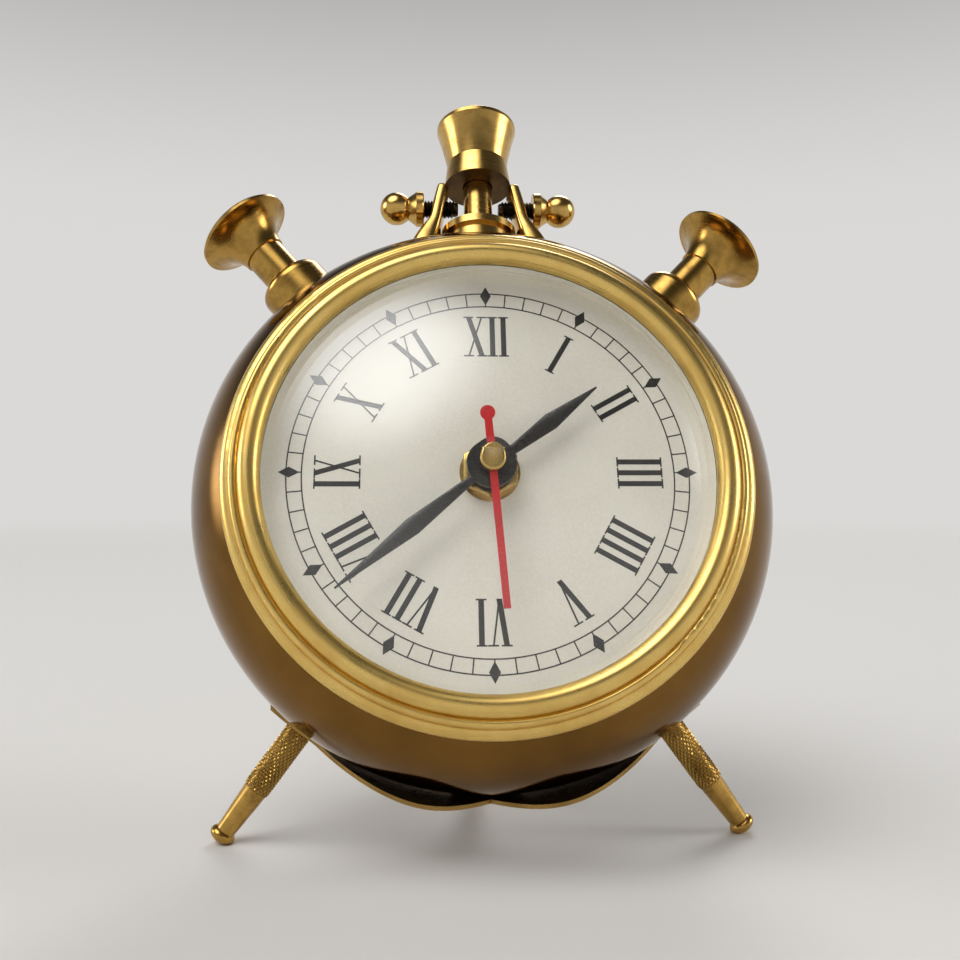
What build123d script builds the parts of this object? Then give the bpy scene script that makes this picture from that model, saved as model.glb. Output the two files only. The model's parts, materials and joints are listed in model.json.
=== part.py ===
from build123d import *
import os
from math import acos, asin, atan2, cos, degrees, pi, radians, sin, sqrt

os.makedirs("parts", exist_ok=True)

# Stance: the clock leans back and stands on three legs
LEAN = 20.0

# Clearances and cuts
RUNNING_CLEARANCE = 0.05
SEAT_CLEARANCE = 0.2
SADDLE_CLEARANCE = 0.35
OVERRUN = 6.0

# Case: a ring with a round back, widest at the waist
CASE_RADIUS = 59.3
CASE_WAIST_DEPTH = 14.0
CASE_ROUNDING = 21.7
CASE_WALL = 2.2
CASE_LIP = 3.0
DIAL_LEDGE_RADIUS = 44.6
DIAL_LEDGE_THICKNESS = 2.0
LEG_BOSS_RADIUS = 4.5
LEG_BOSS_HEIGHT = 8.0
CROWN_BOSS_RADIUS = 6.0
CROWN_BOSS_HEIGHT = 8.0
SCREW_BOSS_RADIUS = 3.0
SCREW_BOSS_HEIGHT = 5.0

# Rear cover and its screws
COVER_RADIUS = 38.3
COVER_SEAT_WIDTH = 5.3
COVER_THICKNESS = 1.4
COVER_SCREW_INSET = 2.3
COVER_SCREW_COUNT = 3
COVER_SCREW_RADIUS = 1.0
COVER_SCREW_HEAD_RADIUS = 1.9
COVER_SCREW_HEAD_HEIGHT = 1.0
COVER_SCREW_LENGTH = 4.5
COVER_SCREW_SLOT_WIDTH = 0.6
COVER_SCREW_SLOT_DEPTH = 0.5

# Bezel: a wide crowned band, a fine ridge and a skirt, heights measured from the dial
BEZEL_RADIUS = 51.2
BEZEL_OPENING_RADIUS = 43.35
BEZEL_OPENING_HEIGHT = 5.5
BAND_CREST_RADIUS = 45.3
BAND_CREST_HEIGHT = 8.0
BAND_EDGE_RADIUS = 47.6
BAND_EDGE_HEIGHT = 6.6
RIDGE_EDGE_RADIUS = 49.3
RIDGE_CREST_HEIGHT = 6.5
RIDGE_EDGE_HEIGHT = 5.6
SKIRT_CREST_HEIGHT = 4.9
SKIRT_EDGE_HEIGHT = 3.9
BEZEL_STEP_WIDTH = 0.2
BEZEL_STEP_DEPTH = 0.45
SPIGOT_RADIUS = 46.9
SPIGOT_WALL = 0.9
SPIGOT_LENGTH = 3.6

# Glass, its seal and the ring that spaces it from the dial
GLASS_RADIUS = 45.0
GLASS_RIM_WIDTH = 1.8
GLASS_THICKNESS = 1.2
GLASS_RISE = 9.0
SEAL_WIDTH = 1.4
SEAL_THICKNESS = 0.7
DIAL_RING_WIDTH = 1.5
DIAL_RING_HEIGHT = 3.2

# Dial, gasket, washer and nut
DIAL_RADIUS = 45.8
DIAL_THICKNESS = 0.8
GASKET_RADIUS = 12.0
GASKET_THICKNESS = 0.8
DIAL_WASHER_RADIUS = 5.9
DIAL_WASHER_THICKNESS = 0.5
NUT_ACROSS_FLATS = 10.4
NUT_HEIGHT = 1.9
BUSH_RADIUS = 4.0
BUSH_STANDOFF = 0.6

# Hands: shape and the angle clockwise from twelve at which each stands
HOUR_HAND_LENGTH = 26.8
HOUR_HAND_WIDTH = 3.5
HOUR_HAND_BROAD_RADIUS = 15.0
HOUR_HAND_ROOT_WIDTH = 1.7
HOUR_HAND_HUB_RADIUS = 4.4
HOUR_HAND_THICKNESS = 0.6
HOUR_HAND_HEIGHT = 3.6
HOUR_HAND_ANGLE = 52.0
MINUTE_HAND_TIP_GAP = 4.5
MINUTE_HAND_WIDTH = 3.5
MINUTE_HAND_BROAD_RADIUS = 19.4
MINUTE_HAND_ROOT_WIDTH = 1.5
MINUTE_HAND_HUB_RADIUS = 4.8
MINUTE_HAND_THICKNESS = 0.6
MINUTE_HAND_HEIGHT = 5.0
MINUTE_HAND_ANGLE = 230.3
SECOND_HAND_LENGTH = 28.3
SECOND_HAND_WIDTH = 1.5
SECOND_HAND_TIP_WIDTH = 1.3
SECOND_HAND_TAIL = 9.7
SECOND_HAND_TAIL_RADIUS = 1.45
SECOND_HAND_THICKNESS = 0.5
SECOND_HAND_HEIGHT = 6.6
SECOND_HAND_ANGLE = 176.0
HAND_TIP_WIDTH = 0.3
CAP_RADIUS = 2.45
CAP_HEIGHT = 1.6
CAP_ROUNDING = 0.5

# Tubes and arbors of the hands
HOUR_TUBE_RADIUS = 2.6
MINUTE_PIPE_RADIUS = 1.6
SECONDS_ARBOR_RADIUS = 0.5
TUBE_PROUD = 0.4

# Movement housing
MOVEMENT_WIDTH = 56.0
MOVEMENT_CORNER_RADIUS = 4.0
MOVEMENT_DEPTH = 15.8
MOVEMENT_WALL = 1.2
MOVEMENT_SPLIT = 7.6
BRIDGE_DEPTH = 7.3
BRIDGE_THICKNESS = 1.0
BRIDGE_HALF_WIDTH = 26.0
BRIDGE_TOP = 17.5
BRIDGE_BOTTOM = 11.5
BRIDGE_POST_RADIUS = 2.0
BRIDGE_POST_INSET = 2.8
PIVOT_DEPTH = 0.8

# Teeth of the going train: module of each mesh and counts
TRAIN_MODULE = 0.36
MINUTE_MODULE = 0.40
PINION_TEETH = 8
INTERMEDIATE_TEETH = 40
SECONDS_TEETH = 48
THIRD_TEETH = 60
CENTRE_TEETH = 64
CANNON_TEETH = 12
MOTION_TEETH = 36
MOTION_PINION_TEETH = 10
HOUR_TEETH = 40
TIP_REACH_SHARE = 0.85
ROOT_DEPTH_SHARE = 1.25
TIP_WIDTH_SHARE = 0.10
ROOT_WIDTH_SHARE = 0.26

# Where the arbors stand around the centre, clockwise from twelve
THIRD_BEARING = 300.0
INTERMEDIATE_BEARING = 60.0
ROTOR_BEARING = 30.0
MOTION_BEARING = 120.0
SETTING_BEARING = 70.0

# Levels of the wheels behind the dial and their thicknesses
WHEEL_THICKNESS = 1.0
PINION_LENGTH = 1.5
HOUR_WHEEL_DEPTH = 3.4
MOTION_PINION_DEPTH = 3.2
MOTION_WHEEL_DEPTH = 5.4
CANNON_PINION_DEPTH = 5.0
CANNON_PINION_LENGTH = 1.8
CENTRE_WHEEL_DEPTH = 7.2
THIRD_PINION_DEPTH = 7.0
SECONDS_PINION_DEPTH = 10.4
THIRD_WHEEL_DEPTH = 10.6
ROTOR_MAGNET_DEPTH = 10.1
INTERMEDIATE_PINION_DEPTH = 12.2
SECONDS_WHEEL_DEPTH = 12.4
ROTOR_PINION_DEPTH = 13.9
INTERMEDIATE_WHEEL_DEPTH = 14.2
ARBOR_RADIUS = 0.6
MOTION_POST_RADIUS = 0.8
MOTION_POST_REACH = 0.6
ROTOR_MAGNET_RADIUS = 2.0
ROTOR_MAGNET_LENGTH = 1.2

# Motor: stator plate, coil and core
STATOR_THICKNESS = 0.8
STATOR_HALF_WIDTH = 8.0
STATOR_BASE_HEIGHT = 7.3
STATOR_BASE_DROP = 3.3
STATOR_ARM_WIDTH = 2.5
STATOR_ARM_LENGTH = 8.5
ROTOR_AIR_GAP = 0.6
CORE_WIDTH = 2.2
CORE_THICKNESS = 1.6
CORE_INSET = 0.9
COIL_RADIUS = 2.9
COIL_END_GAP = 0.5

# Circuit board on its posts
BOARD_WIDTH = 22.0
BOARD_HEIGHT = 8.0
BOARD_THICKNESS = 1.0
BOARD_CENTRE_LEFT = 13.0
BOARD_CENTRE_UP = 22.5
BOARD_DEPTH = 10.0
BOARD_POST_RADIUS = 1.2
BOARD_POST_INSET = 2.5

# Battery and contacts
BATTERY_RADIUS = 7.1
BATTERY_LENGTH = 48.8
BATTERY_NUB_RADIUS = 2.7
BATTERY_NUB_LENGTH = 1.2
BATTERY_DROP = 18.9
BATTERY_FLOOR_GAP = 0.3
CONTACT_THICKNESS = 0.5
CONTACT_WIDTH = 9.0
CONTACT_SPRING_RADIUS = 4.0
CONTACT_SPRING_TIP_RADIUS = 2.5

# Setting stem and knob at the back
SETTING_STEM_RADIUS = 1.5
SETTING_PINION_DEPTH = 5.2
SETTING_PINION_LENGTH = 1.4
SETTING_KNOB_RADIUS = 6.0
SETTING_KNOB_LENGTH = 5.8
SETTING_KNOB_GAP = 0.5
SETTING_KNOB_FLUTES = 16
SETTING_KNOB_FLUTE_RADIUS = 0.6

# Crown at twelve, heights measured outward from the middle of the case
CROWN_SEAT = 58.4
CROWN_WASHER_RADIUS = 7.4
CROWN_WASHER_HEIGHT = 4.4
CROWN_FLANGE_RADIUS = 8.4
CROWN_FLANGE_HEIGHT = 1.6
CROWN_STEM_RADIUS = 3.25
CROWN_STEM_LENGTH = 15.2
CROWN_STUD_RADIUS = 2.5
CROWN_STUD_LENGTH = 8.8
CROWN_PIN_RADIUS = 2.2
CROWN_PIN_LENGTH = 8.9
CROWN_SKIRT_RADIUS = 7.6
CROWN_SKIRT_DROP = 3.0
CROWN_WAIST_RADIUS = 6.9
CROWN_WAIST_RISE = 5.6
CROWN_RIM_RADIUS = 9.15
CROWN_RIM_RISE = 15.0
CROWN_RIM_WIDTH = 1.3
CROWN_RIM_ROUNDING = 0.6
CROWN_LIP_HEIGHT = 1.4
CROWN_FLARE_BULGE_SHARE = 0.42
CROWN_BOWL_FLOOR_RADIUS = 5.2
CROWN_SCREW_HEAD_RADIUS = 3.6
CROWN_SCREW_HEAD_HEIGHT = 1.4
CROWN_SCREW_RADIUS = 1.0
CROWN_SCREW_LENGTH = 5.0

# Ears beside the crown and the thumb screws through them
EAR_ROOT_SINK = 1.5
EAR_HEIGHT = 15.9
EAR_ROOT_CENTRE = 11.5
EAR_TOP_CENTRE = 7.9
EAR_ROOT_WIDTH = 4.0
EAR_TOP_WIDTH = 2.8
EAR_ROOT_DEPTH = 9.0
EAR_TOP_DEPTH = 7.0
EAR_ROUNDING = 0.7
EAR_EDGE_ROUNDING = 1.0
THUMB_AXIS_RISE = 10.65
THUMB_STUD_RADIUS = 2.0
THUMB_STUD_INNER = 4.6
THUMB_STUD_OUTER = 16.0
THUMB_BELL_INNER = 12.4
THUMB_BELL_RADIUS = 3.95
THUMB_BELL_LENGTH = 2.0
THUMB_NECK_RADIUS = 2.5
THUMB_NECK_PLACE = 15.9
THUMB_BALL_RADIUS = 3.65
THUMB_BALL_CENTRE = 18.6

# Push knobs at ten and two, heights measured outward from the middle of the case
LEFT_PUSHER_BEARING = 40.1
RIGHT_PUSHER_BEARING = 42.7
COLLAR_SEAT = 57.8
COLLAR_RADIUS = 7.5
COLLAR_HEIGHT = 7.7
COLLAR_ROUNDING = 2.3
TENON_RADIUS = 5.6
TENON_LENGTH = 8.4
COLLAR_FLOOR = 1.5
PUSHER_STEM_RADIUS = 4.4
PUSHER_STEM_SHOWN = 8.3
PUSHER_HEAD_STEP = 0.35
PUSHER_HEAD_RADIUS = 10.7
PUSHER_HEAD_HEIGHT = 8.2
PUSHER_HEAD_EDGE = 1.2
PUSHER_FLARE_SAG = 1.5
PUSHER_DISH_DEPTH = 0.6
PUSHER_ROD_RADIUS = 1.6
PUSHER_ROD_TAIL = 0.6
CLIP_RADIUS = 3.2
CLIP_THICKNESS = 0.7
CLIP_GAP = 0.1
SPRING_LENGTH = 10.1
SPRING_WIRE = 1.4
SPRING_ROD_GAP = 0.4

# Saddle plate under the case, with a tongue that wraps the back
SADDLE_THICKNESS = 0.8
SADDLE_ARM_ANGLE = 44.0
SADDLE_LOBE_REACH = 11.0
SADDLE_LOBE_PLACE = 15.0
SADDLE_NOTCH_REACH = 4.3
SADDLE_NECK_PLACE = 33.0
SADDLE_NECK_BACK = 1.2
SADDLE_TIP_PLACE = 42.5
SADDLE_TIP_FRONT = 3.0
SADDLE_TIP_BACK = 12.0
SADDLE_REAR_BACK = 9.0
TONGUE_WIDTH = 14.0
TONGUE_END_ANGLE = 67.0

# Legs: three alike, knurled above and tapered to a bead
LEG_SPREAD_ANGLE = 36.5
LEG_SETBACK = 7.5
LEG_LENGTH = 25.1
LEG_KNURL_RADIUS = 2.85
LEG_KNURL_LENGTH = 15.2
LEG_CHAMFER = 0.4
LEG_TAPER_RADIUS = 2.5
LEG_TOE_RADIUS = 1.95
LEG_BEAD_RADIUS = 2.8
LEG_STUD_RADIUS = 2.0
LEG_STUD_LENGTH = 6.0
FOOT_FLAT = 0.3

# Worked out: the case section and the saddle that follows it
LEAN_ANGLE = radians(LEAN)
RING_RADIUS = CASE_RADIUS - CASE_ROUNDING
REAR_DEPTH = CASE_WAIST_DEPTH + CASE_ROUNDING
COVER_DEPTH = REAR_DEPTH - COVER_THICKNESS
REAR_MOUTH_RADIUS = COVER_RADIUS - COVER_SEAT_WIDTH
COVER_SCREW_CIRCLE = COVER_RADIUS - COVER_SCREW_INSET
ARM_ANGLE = radians(SADDLE_ARM_ANGLE)


def case_reach(angle):
    """Distance from the middle of the case to its underside, level across, at an angle from straight down."""
    return RING_RADIUS * sqrt(sin(angle) ** 2 + (cos(angle) * cos(LEAN_ANGLE)) ** 2) + CASE_ROUNDING


SADDLE_RISE = (case_reach(ARM_ANGLE) - case_reach(0)) / (1 - cos(ARM_ANGLE))
SADDLE_RADIUS = case_reach(0) + SADDLE_CLEARANCE + SADDLE_RISE
SADDLE_OUTER_RADIUS = SADDLE_RADIUS + SADDLE_THICKNESS
TONGUE_RADIUS = CASE_ROUNDING + SADDLE_CLEARANCE
TONGUE_OUTER_RADIUS = TONGUE_RADIUS + SADDLE_THICKNESS

# Worked out: where the clock stands, with the middle of its box over the origin
BEAD_DROP = (SADDLE_OUTER_RADIUS + LEG_LENGTH) * cos(radians(LEG_SPREAD_ANGLE))
GROUND_DROP = BEAD_DROP + LEG_BEAD_RADIUS - FOOT_FLAT
DIAL_HEIGHT = GROUND_DROP - SADDLE_RISE + CASE_WAIST_DEPTH * sin(LEAN_ANGLE)
CROWN_STEM_FOOT = CROWN_SEAT + CROWN_WASHER_HEIGHT
CROWN_SHOULDER = CROWN_STEM_FOOT + CROWN_STEM_LENGTH
CROWN_FOOT = CROWN_SHOULDER - CROWN_SKIRT_DROP
CROWN_TOP = CROWN_FOOT + CROWN_RIM_RISE + CROWN_LIP_HEIGHT
FRONT_REACH = BAND_CREST_HEIGHT * cos(LEAN_ANGLE) + BAND_CREST_RADIUS * sin(LEAN_ANGLE)
REAR_REACH = (CASE_WAIST_DEPTH + CROWN_RIM_RADIUS) * cos(LEAN_ANGLE) + CROWN_TOP * sin(LEAN_ANGLE)
DIAL_SETBACK = (FRONT_REACH - REAR_REACH) / 2

# Worked out: levels of the push knobs, from the collar's tenon outward
TENON_END = COLLAR_SEAT - TENON_LENGTH
COLLAR_TOP = COLLAR_SEAT + COLLAR_HEIGHT
CLIP_TOP = TENON_END - CLIP_GAP
PUSHER_ROD_END = CLIP_TOP - CLIP_THICKNESS - PUSHER_ROD_TAIL
SPRING_FOOT = TENON_END + COLLAR_FLOOR
PUSHER_STEM_FOOT = SPRING_FOOT + SPRING_LENGTH
PUSHER_HEAD_BASE = COLLAR_TOP + PUSHER_STEM_SHOWN


def pusher_reach(bearing):
    """Sideways distance from the middle of the clock to the rim of a push knob."""
    turn = radians(bearing)
    rim = PUSHER_HEAD_BASE + PUSHER_HEAD_HEIGHT - PUSHER_HEAD_EDGE / 2
    return rim * sin(turn) + PUSHER_HEAD_RADIUS * cos(turn)


DIAL_SHIFT = (pusher_reach(LEFT_PUSHER_BEARING) - pusher_reach(RIGHT_PUSHER_BEARING)) / 2

# Worked out: the clock's own planes, with the dial's centre as their origin
CLOCK = Plane(
    origin=(DIAL_SHIFT, DIAL_SETBACK, DIAL_HEIGHT),
    x_dir=(1, 0, 0),
    z_dir=(0, -cos(LEAN_ANGLE), sin(LEAN_ANGLE)),
)
WAIST = CLOCK.offset(-CASE_WAIST_DEPTH)
SADDLE_CENTRE = WAIST.origin + Vector(0, 0, SADDLE_RISE)
TONGUE_CENTRE = WAIST.origin - CLOCK.y_dir * RING_RADIUS
REAR_LEG_SHARE = (BEAD_DROP - SADDLE_RISE - RING_RADIUS * cos(LEAN_ANGLE)) / (TONGUE_OUTER_RADIUS + LEG_LENGTH)
REAR_LEG_ANGLE = degrees(acos(REAR_LEG_SHARE))

# Worked out: levels in front of the dial and behind it
GLASS_SEAT = DIAL_RING_HEIGHT + SEAL_THICKNESS
GLASS_RIM_TOP = GLASS_SEAT + GLASS_THICKNESS
GLASS_CLEAR_RADIUS = GLASS_RADIUS - GLASS_RIM_WIDTH - GLASS_THICKNESS
MINUTE_HAND_LENGTH = GLASS_CLEAR_RADIUS - MINUTE_HAND_TIP_GAP
NUT_TOP = DIAL_WASHER_THICKNESS + NUT_HEIGHT
BUSH_TOP = NUT_TOP + BUSH_STANDOFF
HOUR_TUBE_TOP = HOUR_HAND_HEIGHT + HOUR_HAND_THICKNESS + TUBE_PROUD
MINUTE_PIPE_TOP = MINUTE_HAND_HEIGHT + MINUTE_HAND_THICKNESS + TUBE_PROUD
SECONDS_ARBOR_TOP = SECOND_HAND_HEIGHT + SECOND_HAND_THICKNESS + TUBE_PROUD
MOVEMENT_FRONT = DIAL_THICKNESS + GASKET_THICKNESS
MOVEMENT_FLOOR = MOVEMENT_FRONT + MOVEMENT_WALL
MOVEMENT_JOIN = MOVEMENT_FRONT + MOVEMENT_SPLIT
MOVEMENT_BACK = MOVEMENT_FRONT + MOVEMENT_DEPTH
MOVEMENT_CEILING = MOVEMENT_BACK - MOVEMENT_WALL
BRIDGE_FRONT = MOVEMENT_FRONT + BRIDGE_DEPTH
BRIDGE_BACK = BRIDGE_FRONT + BRIDGE_THICKNESS
MOVEMENT_INNER_WIDTH = MOVEMENT_WIDTH - 2 * MOVEMENT_WALL
BATTERY_DEPTH = MOVEMENT_FLOOR + BATTERY_FLOOR_GAP + BATTERY_RADIUS


def heading(bearing):
    """Direction in the dial's plane at a bearing clockwise from twelve."""
    turn = radians(bearing)
    return CLOCK.x_dir * sin(turn) + CLOCK.y_dir * cos(turn)


def across(bearing):
    """Direction in the dial's plane to the right of a bearing, seen from the front."""
    turn = radians(bearing)
    return CLOCK.x_dir * cos(turn) - CLOCK.y_dir * sin(turn)


def around(place, bearing, distance):
    """Place on the dial's plane at a distance and bearing from another place."""
    turn = radians(bearing)
    return (place[0] + distance * sin(turn), place[1] + distance * cos(turn))


def mesh_distance(module, teeth, others):
    """Distance between the arbors of two toothed pieces."""
    return module * (teeth + others) / 2


CENTRE = (0, 0)
THIRD = around(CENTRE, THIRD_BEARING, mesh_distance(TRAIN_MODULE, PINION_TEETH, THIRD_TEETH))
INTERMEDIATE = around(CENTRE, INTERMEDIATE_BEARING, mesh_distance(TRAIN_MODULE, PINION_TEETH, SECONDS_TEETH))
ROTOR = around(INTERMEDIATE, ROTOR_BEARING, mesh_distance(TRAIN_MODULE, PINION_TEETH, INTERMEDIATE_TEETH))
MOTION_DISTANCE = mesh_distance(MINUTE_MODULE, CANNON_TEETH, MOTION_TEETH)
MOTION = around(CENTRE, MOTION_BEARING, MOTION_DISTANCE)
SETTING = around(MOTION, SETTING_BEARING, MOTION_DISTANCE)
CENTRE_MESH_MODULE = 2 * mesh_distance(TRAIN_MODULE, PINION_TEETH, THIRD_TEETH) / (PINION_TEETH + CENTRE_TEETH)
HOUR_MODULE = 2 * MOTION_DISTANCE / (MOTION_PINION_TEETH + HOUR_TEETH)


def dial_plane(height, place=CENTRE):
    """Plane parallel to the dial, at a height in front of it (behind it where negative)."""
    origin = CLOCK.from_local_coords((place[0], place[1], height))
    return Plane(origin=origin, x_dir=CLOCK.x_dir, z_dir=CLOCK.z_dir)


def section_plane(place=CENTRE):
    """Plane through an arbor: distance from the arbor, then height in front of the dial."""
    origin = CLOCK.from_local_coords((place[0], place[1], 0))
    return Plane(origin=origin, x_dir=CLOCK.x_dir, z_dir=-CLOCK.y_dir)


def arbor_axis(place=CENTRE):
    """Axis square to the dial through a place on it."""
    return Axis(CLOCK.from_local_coords((place[0], place[1], 0)), CLOCK.z_dir)


def hand_plane(bearing, height):
    """Plane of a hand: across it, then along it from the centre."""
    return Plane(origin=dial_plane(height).origin, x_dir=across(bearing), z_dir=CLOCK.z_dir)


def spoke_plane(bearing, distance):
    """Plane square to a spoke of the case at the waist."""
    origin = WAIST.origin + heading(bearing) * distance
    return Plane(origin=origin, x_dir=across(bearing), z_dir=heading(bearing))


def spoke_section(bearing):
    """Plane through a spoke of the case at the waist: across it, then outward."""
    return Plane(origin=WAIST.origin, x_dir=across(bearing), z_dir=CLOCK.z_dir)


def spoke_axis(bearing):
    """Axis of a spoke of the case at the waist."""
    return Axis(WAIST.origin, heading(bearing))


def thumb_plane(side):
    """Plane of a thumb screw: outward from the middle, then away from its axis."""
    origin = spoke_plane(0, CROWN_SEAT + THUMB_AXIS_RISE).origin
    return Plane(origin=origin, x_dir=CLOCK.x_dir * side, z_dir=CLOCK.z_dir * side)


def thumb_axis(side):
    """Axis of a thumb screw."""
    return Axis(thumb_plane(side).origin, CLOCK.x_dir * side)


def keep(builder, name):
    """Label a finished piece and write it to its own file."""
    builder.part.label = name
    export_step(builder.part, f"parts/{name}.step")


def turned(plane, axis, outline):
    """Piece turned from a straight-sided outline about an axis that lies in the plane."""
    with BuildPart() as piece:
        with BuildSketch(plane):
            with BuildLine():
                Polyline(*outline, close=True)
            make_face()
        revolve(axis=axis)
    return piece


def ring(height, thickness, radius, bore, place=CENTRE):
    """Flat ring parallel to the dial, reaching back from a height in front of it."""
    with BuildPart() as piece:
        with BuildSketch(dial_plane(height, place)):
            Circle(radius)
            Circle(bore, mode=Mode.SUBTRACT)
        extrude(amount=-thickness)
    return piece


def rod(height, length, radius, place=CENTRE):
    """Round rod square to the dial, reaching back from a height in front of it."""
    with BuildPart() as piece:
        with BuildSketch(dial_plane(height, place)):
            Circle(radius)
        extrude(amount=-length)
    return piece


def bearing_between(place, other):
    """Angle, from the right and anticlockwise, of the line from one place to another."""
    return atan2(other[1] - place[1], other[0] - place[0])


def tooth_points(teeth, module, start):
    """Corners of thin tapered teeth, the first one centred on the start angle."""
    pitch_radius = module * teeth / 2
    tip = pitch_radius + TIP_REACH_SHARE * module
    root = pitch_radius - ROOT_DEPTH_SHARE * module
    step = 2 * pi / teeth
    corners = ((root, -ROOT_WIDTH_SHARE), (tip, -TIP_WIDTH_SHARE), (tip, TIP_WIDTH_SHARE), (root, ROOT_WIDTH_SHARE))
    points = []
    for tooth in range(teeth):
        for radius, share in corners:
            angle = start + (tooth + share) * step
            points.append((radius * cos(angle), radius * sin(angle)))
    return points


def toothed(place, partner, teeth, module, depth, thickness, leads):
    """Toothed disc behind the dial: the leading one of a pair turns a tooth to its partner, the other a gap."""
    facing = bearing_between(place, partner)
    start = facing if leads else facing + pi / teeth
    with BuildPart() as disc:
        with BuildSketch(dial_plane(-depth, place)):
            with BuildLine():
                Polyline(*tooth_points(teeth, module, start), close=True)
            make_face()
        extrude(amount=-thickness)
    return disc


def dome_height(radius, edge_radius, rise):
    """Height of a shallow dome over its edge, at a distance from its middle."""
    sphere = (edge_radius ** 2 + rise ** 2) / (2 * rise)
    return sqrt(sphere ** 2 - radius ** 2) - sphere + rise


# Bezel
with BuildPart() as bezel:
    with BuildSketch(section_plane()):
        with BuildLine():
            band_root = BAND_EDGE_HEIGHT - BEZEL_STEP_DEPTH
            ridge_start = BAND_EDGE_RADIUS + BEZEL_STEP_WIDTH
            ridge_middle = (ridge_start + RIDGE_EDGE_RADIUS) / 2
            ridge_root = RIDGE_EDGE_HEIGHT - BEZEL_STEP_DEPTH
            skirt_start = RIDGE_EDGE_RADIUS + BEZEL_STEP_WIDTH
            skirt_middle = (skirt_start + BEZEL_RADIUS) / 2
            rebate = GLASS_RADIUS + SEAT_CLEARANCE
            spigot_bore = SPIGOT_RADIUS - SPIGOT_WALL
            Polyline(
                (spigot_bore, CASE_LIP),
                (rebate, CASE_LIP),
                (rebate, GLASS_RIM_TOP),
                (BEZEL_OPENING_RADIUS, GLASS_RIM_TOP),
                (BEZEL_OPENING_RADIUS, BEZEL_OPENING_HEIGHT),
            )
            ThreePointArc(
                (BEZEL_OPENING_RADIUS, BEZEL_OPENING_HEIGHT),
                (BAND_CREST_RADIUS, BAND_CREST_HEIGHT),
                (BAND_EDGE_RADIUS, BAND_EDGE_HEIGHT),
            )
            Line((BAND_EDGE_RADIUS, BAND_EDGE_HEIGHT), (ridge_start, band_root))
            ThreePointArc(
                (ridge_start, band_root),
                (ridge_middle, RIDGE_CREST_HEIGHT),
                (RIDGE_EDGE_RADIUS, RIDGE_EDGE_HEIGHT),
            )
            Line((RIDGE_EDGE_RADIUS, RIDGE_EDGE_HEIGHT), (skirt_start, ridge_root))
            ThreePointArc(
                (skirt_start, ridge_root),
                (skirt_middle, SKIRT_CREST_HEIGHT),
                (BEZEL_RADIUS, SKIRT_EDGE_HEIGHT),
            )
            Polyline(
                (BEZEL_RADIUS, SKIRT_EDGE_HEIGHT),
                (BEZEL_RADIUS, CASE_LIP),
                (SPIGOT_RADIUS, CASE_LIP),
                (SPIGOT_RADIUS, CASE_LIP - SPIGOT_LENGTH),
                (spigot_bore, CASE_LIP - SPIGOT_LENGTH),
                (spigot_bore, CASE_LIP),
            )
        make_face()
    revolve(axis=arbor_axis())
keep(bezel, "bezel")

# Domed glass with a flat rim
with BuildPart() as glass:
    with BuildSketch(section_plane()):
        with BuildLine():
            dome_edge = GLASS_RADIUS - GLASS_RIM_WIDTH
            outer_middle = GLASS_RIM_TOP + dome_height(dome_edge / 2, dome_edge, GLASS_RISE)
            inner_middle = GLASS_SEAT + dome_height(GLASS_CLEAR_RADIUS / 2, GLASS_CLEAR_RADIUS, GLASS_RISE)
            Polyline(
                (GLASS_CLEAR_RADIUS, GLASS_SEAT),
                (GLASS_RADIUS, GLASS_SEAT),
                (GLASS_RADIUS, GLASS_RIM_TOP),
                (dome_edge, GLASS_RIM_TOP),
            )
            ThreePointArc(
                (dome_edge, GLASS_RIM_TOP),
                (dome_edge / 2, outer_middle),
                (0, GLASS_RIM_TOP + GLASS_RISE),
            )
            Line((0, GLASS_RIM_TOP + GLASS_RISE), (0, GLASS_SEAT + GLASS_RISE))
            ThreePointArc(
                (0, GLASS_SEAT + GLASS_RISE),
                (GLASS_CLEAR_RADIUS / 2, inner_middle),
                (GLASS_CLEAR_RADIUS, GLASS_SEAT),
            )
        make_face()
    revolve(axis=arbor_axis())
keep(glass, "glass")

# Seal under the glass, ring between glass and dial, dial, gasket, washer and nut
keep(ring(GLASS_SEAT, SEAL_THICKNESS, GLASS_RADIUS, GLASS_RADIUS - SEAL_WIDTH), "glass_seal")
keep(ring(DIAL_RING_HEIGHT, DIAL_RING_HEIGHT, GLASS_RADIUS, GLASS_RADIUS - DIAL_RING_WIDTH), "dial_ring")
bush_hole = BUSH_RADIUS + RUNNING_CLEARANCE
keep(ring(0, DIAL_THICKNESS, DIAL_RADIUS, bush_hole), "dial")
keep(ring(-DIAL_THICKNESS, GASKET_THICKNESS, GASKET_RADIUS, bush_hole), "dial_gasket")
keep(ring(DIAL_WASHER_THICKNESS, DIAL_WASHER_THICKNESS, DIAL_WASHER_RADIUS, bush_hole), "dial_washer")

with BuildPart() as dial_nut:
    with BuildSketch(dial_plane(DIAL_WASHER_THICKNESS)):
        RegularPolygon(NUT_ACROSS_FLATS / 2, side_count=6, major_radius=False)
        Circle(bush_hole, mode=Mode.SUBTRACT)
    extrude(amount=NUT_HEIGHT)
keep(dial_nut, "dial_nut")


def pointed_hand(bearing, height, thickness, length, width, broad, root_width, hub_radius, bore):
    """Lozenge hand with a round hub, pushed on its tube."""
    with BuildPart() as hand:
        with BuildSketch(hand_plane(bearing, height)):
            with BuildLine():
                Polyline(
                    (-root_width / 2, 0),
                    (-root_width / 2, hub_radius),
                    (-width / 2, broad),
                    (-HAND_TIP_WIDTH / 2, length),
                    (HAND_TIP_WIDTH / 2, length),
                    (width / 2, broad),
                    (root_width / 2, hub_radius),
                    (root_width / 2, 0),
                    close=True,
                )
            make_face()
            Circle(hub_radius)
            Circle(bore, mode=Mode.SUBTRACT)
        extrude(amount=thickness)
    return hand


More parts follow.
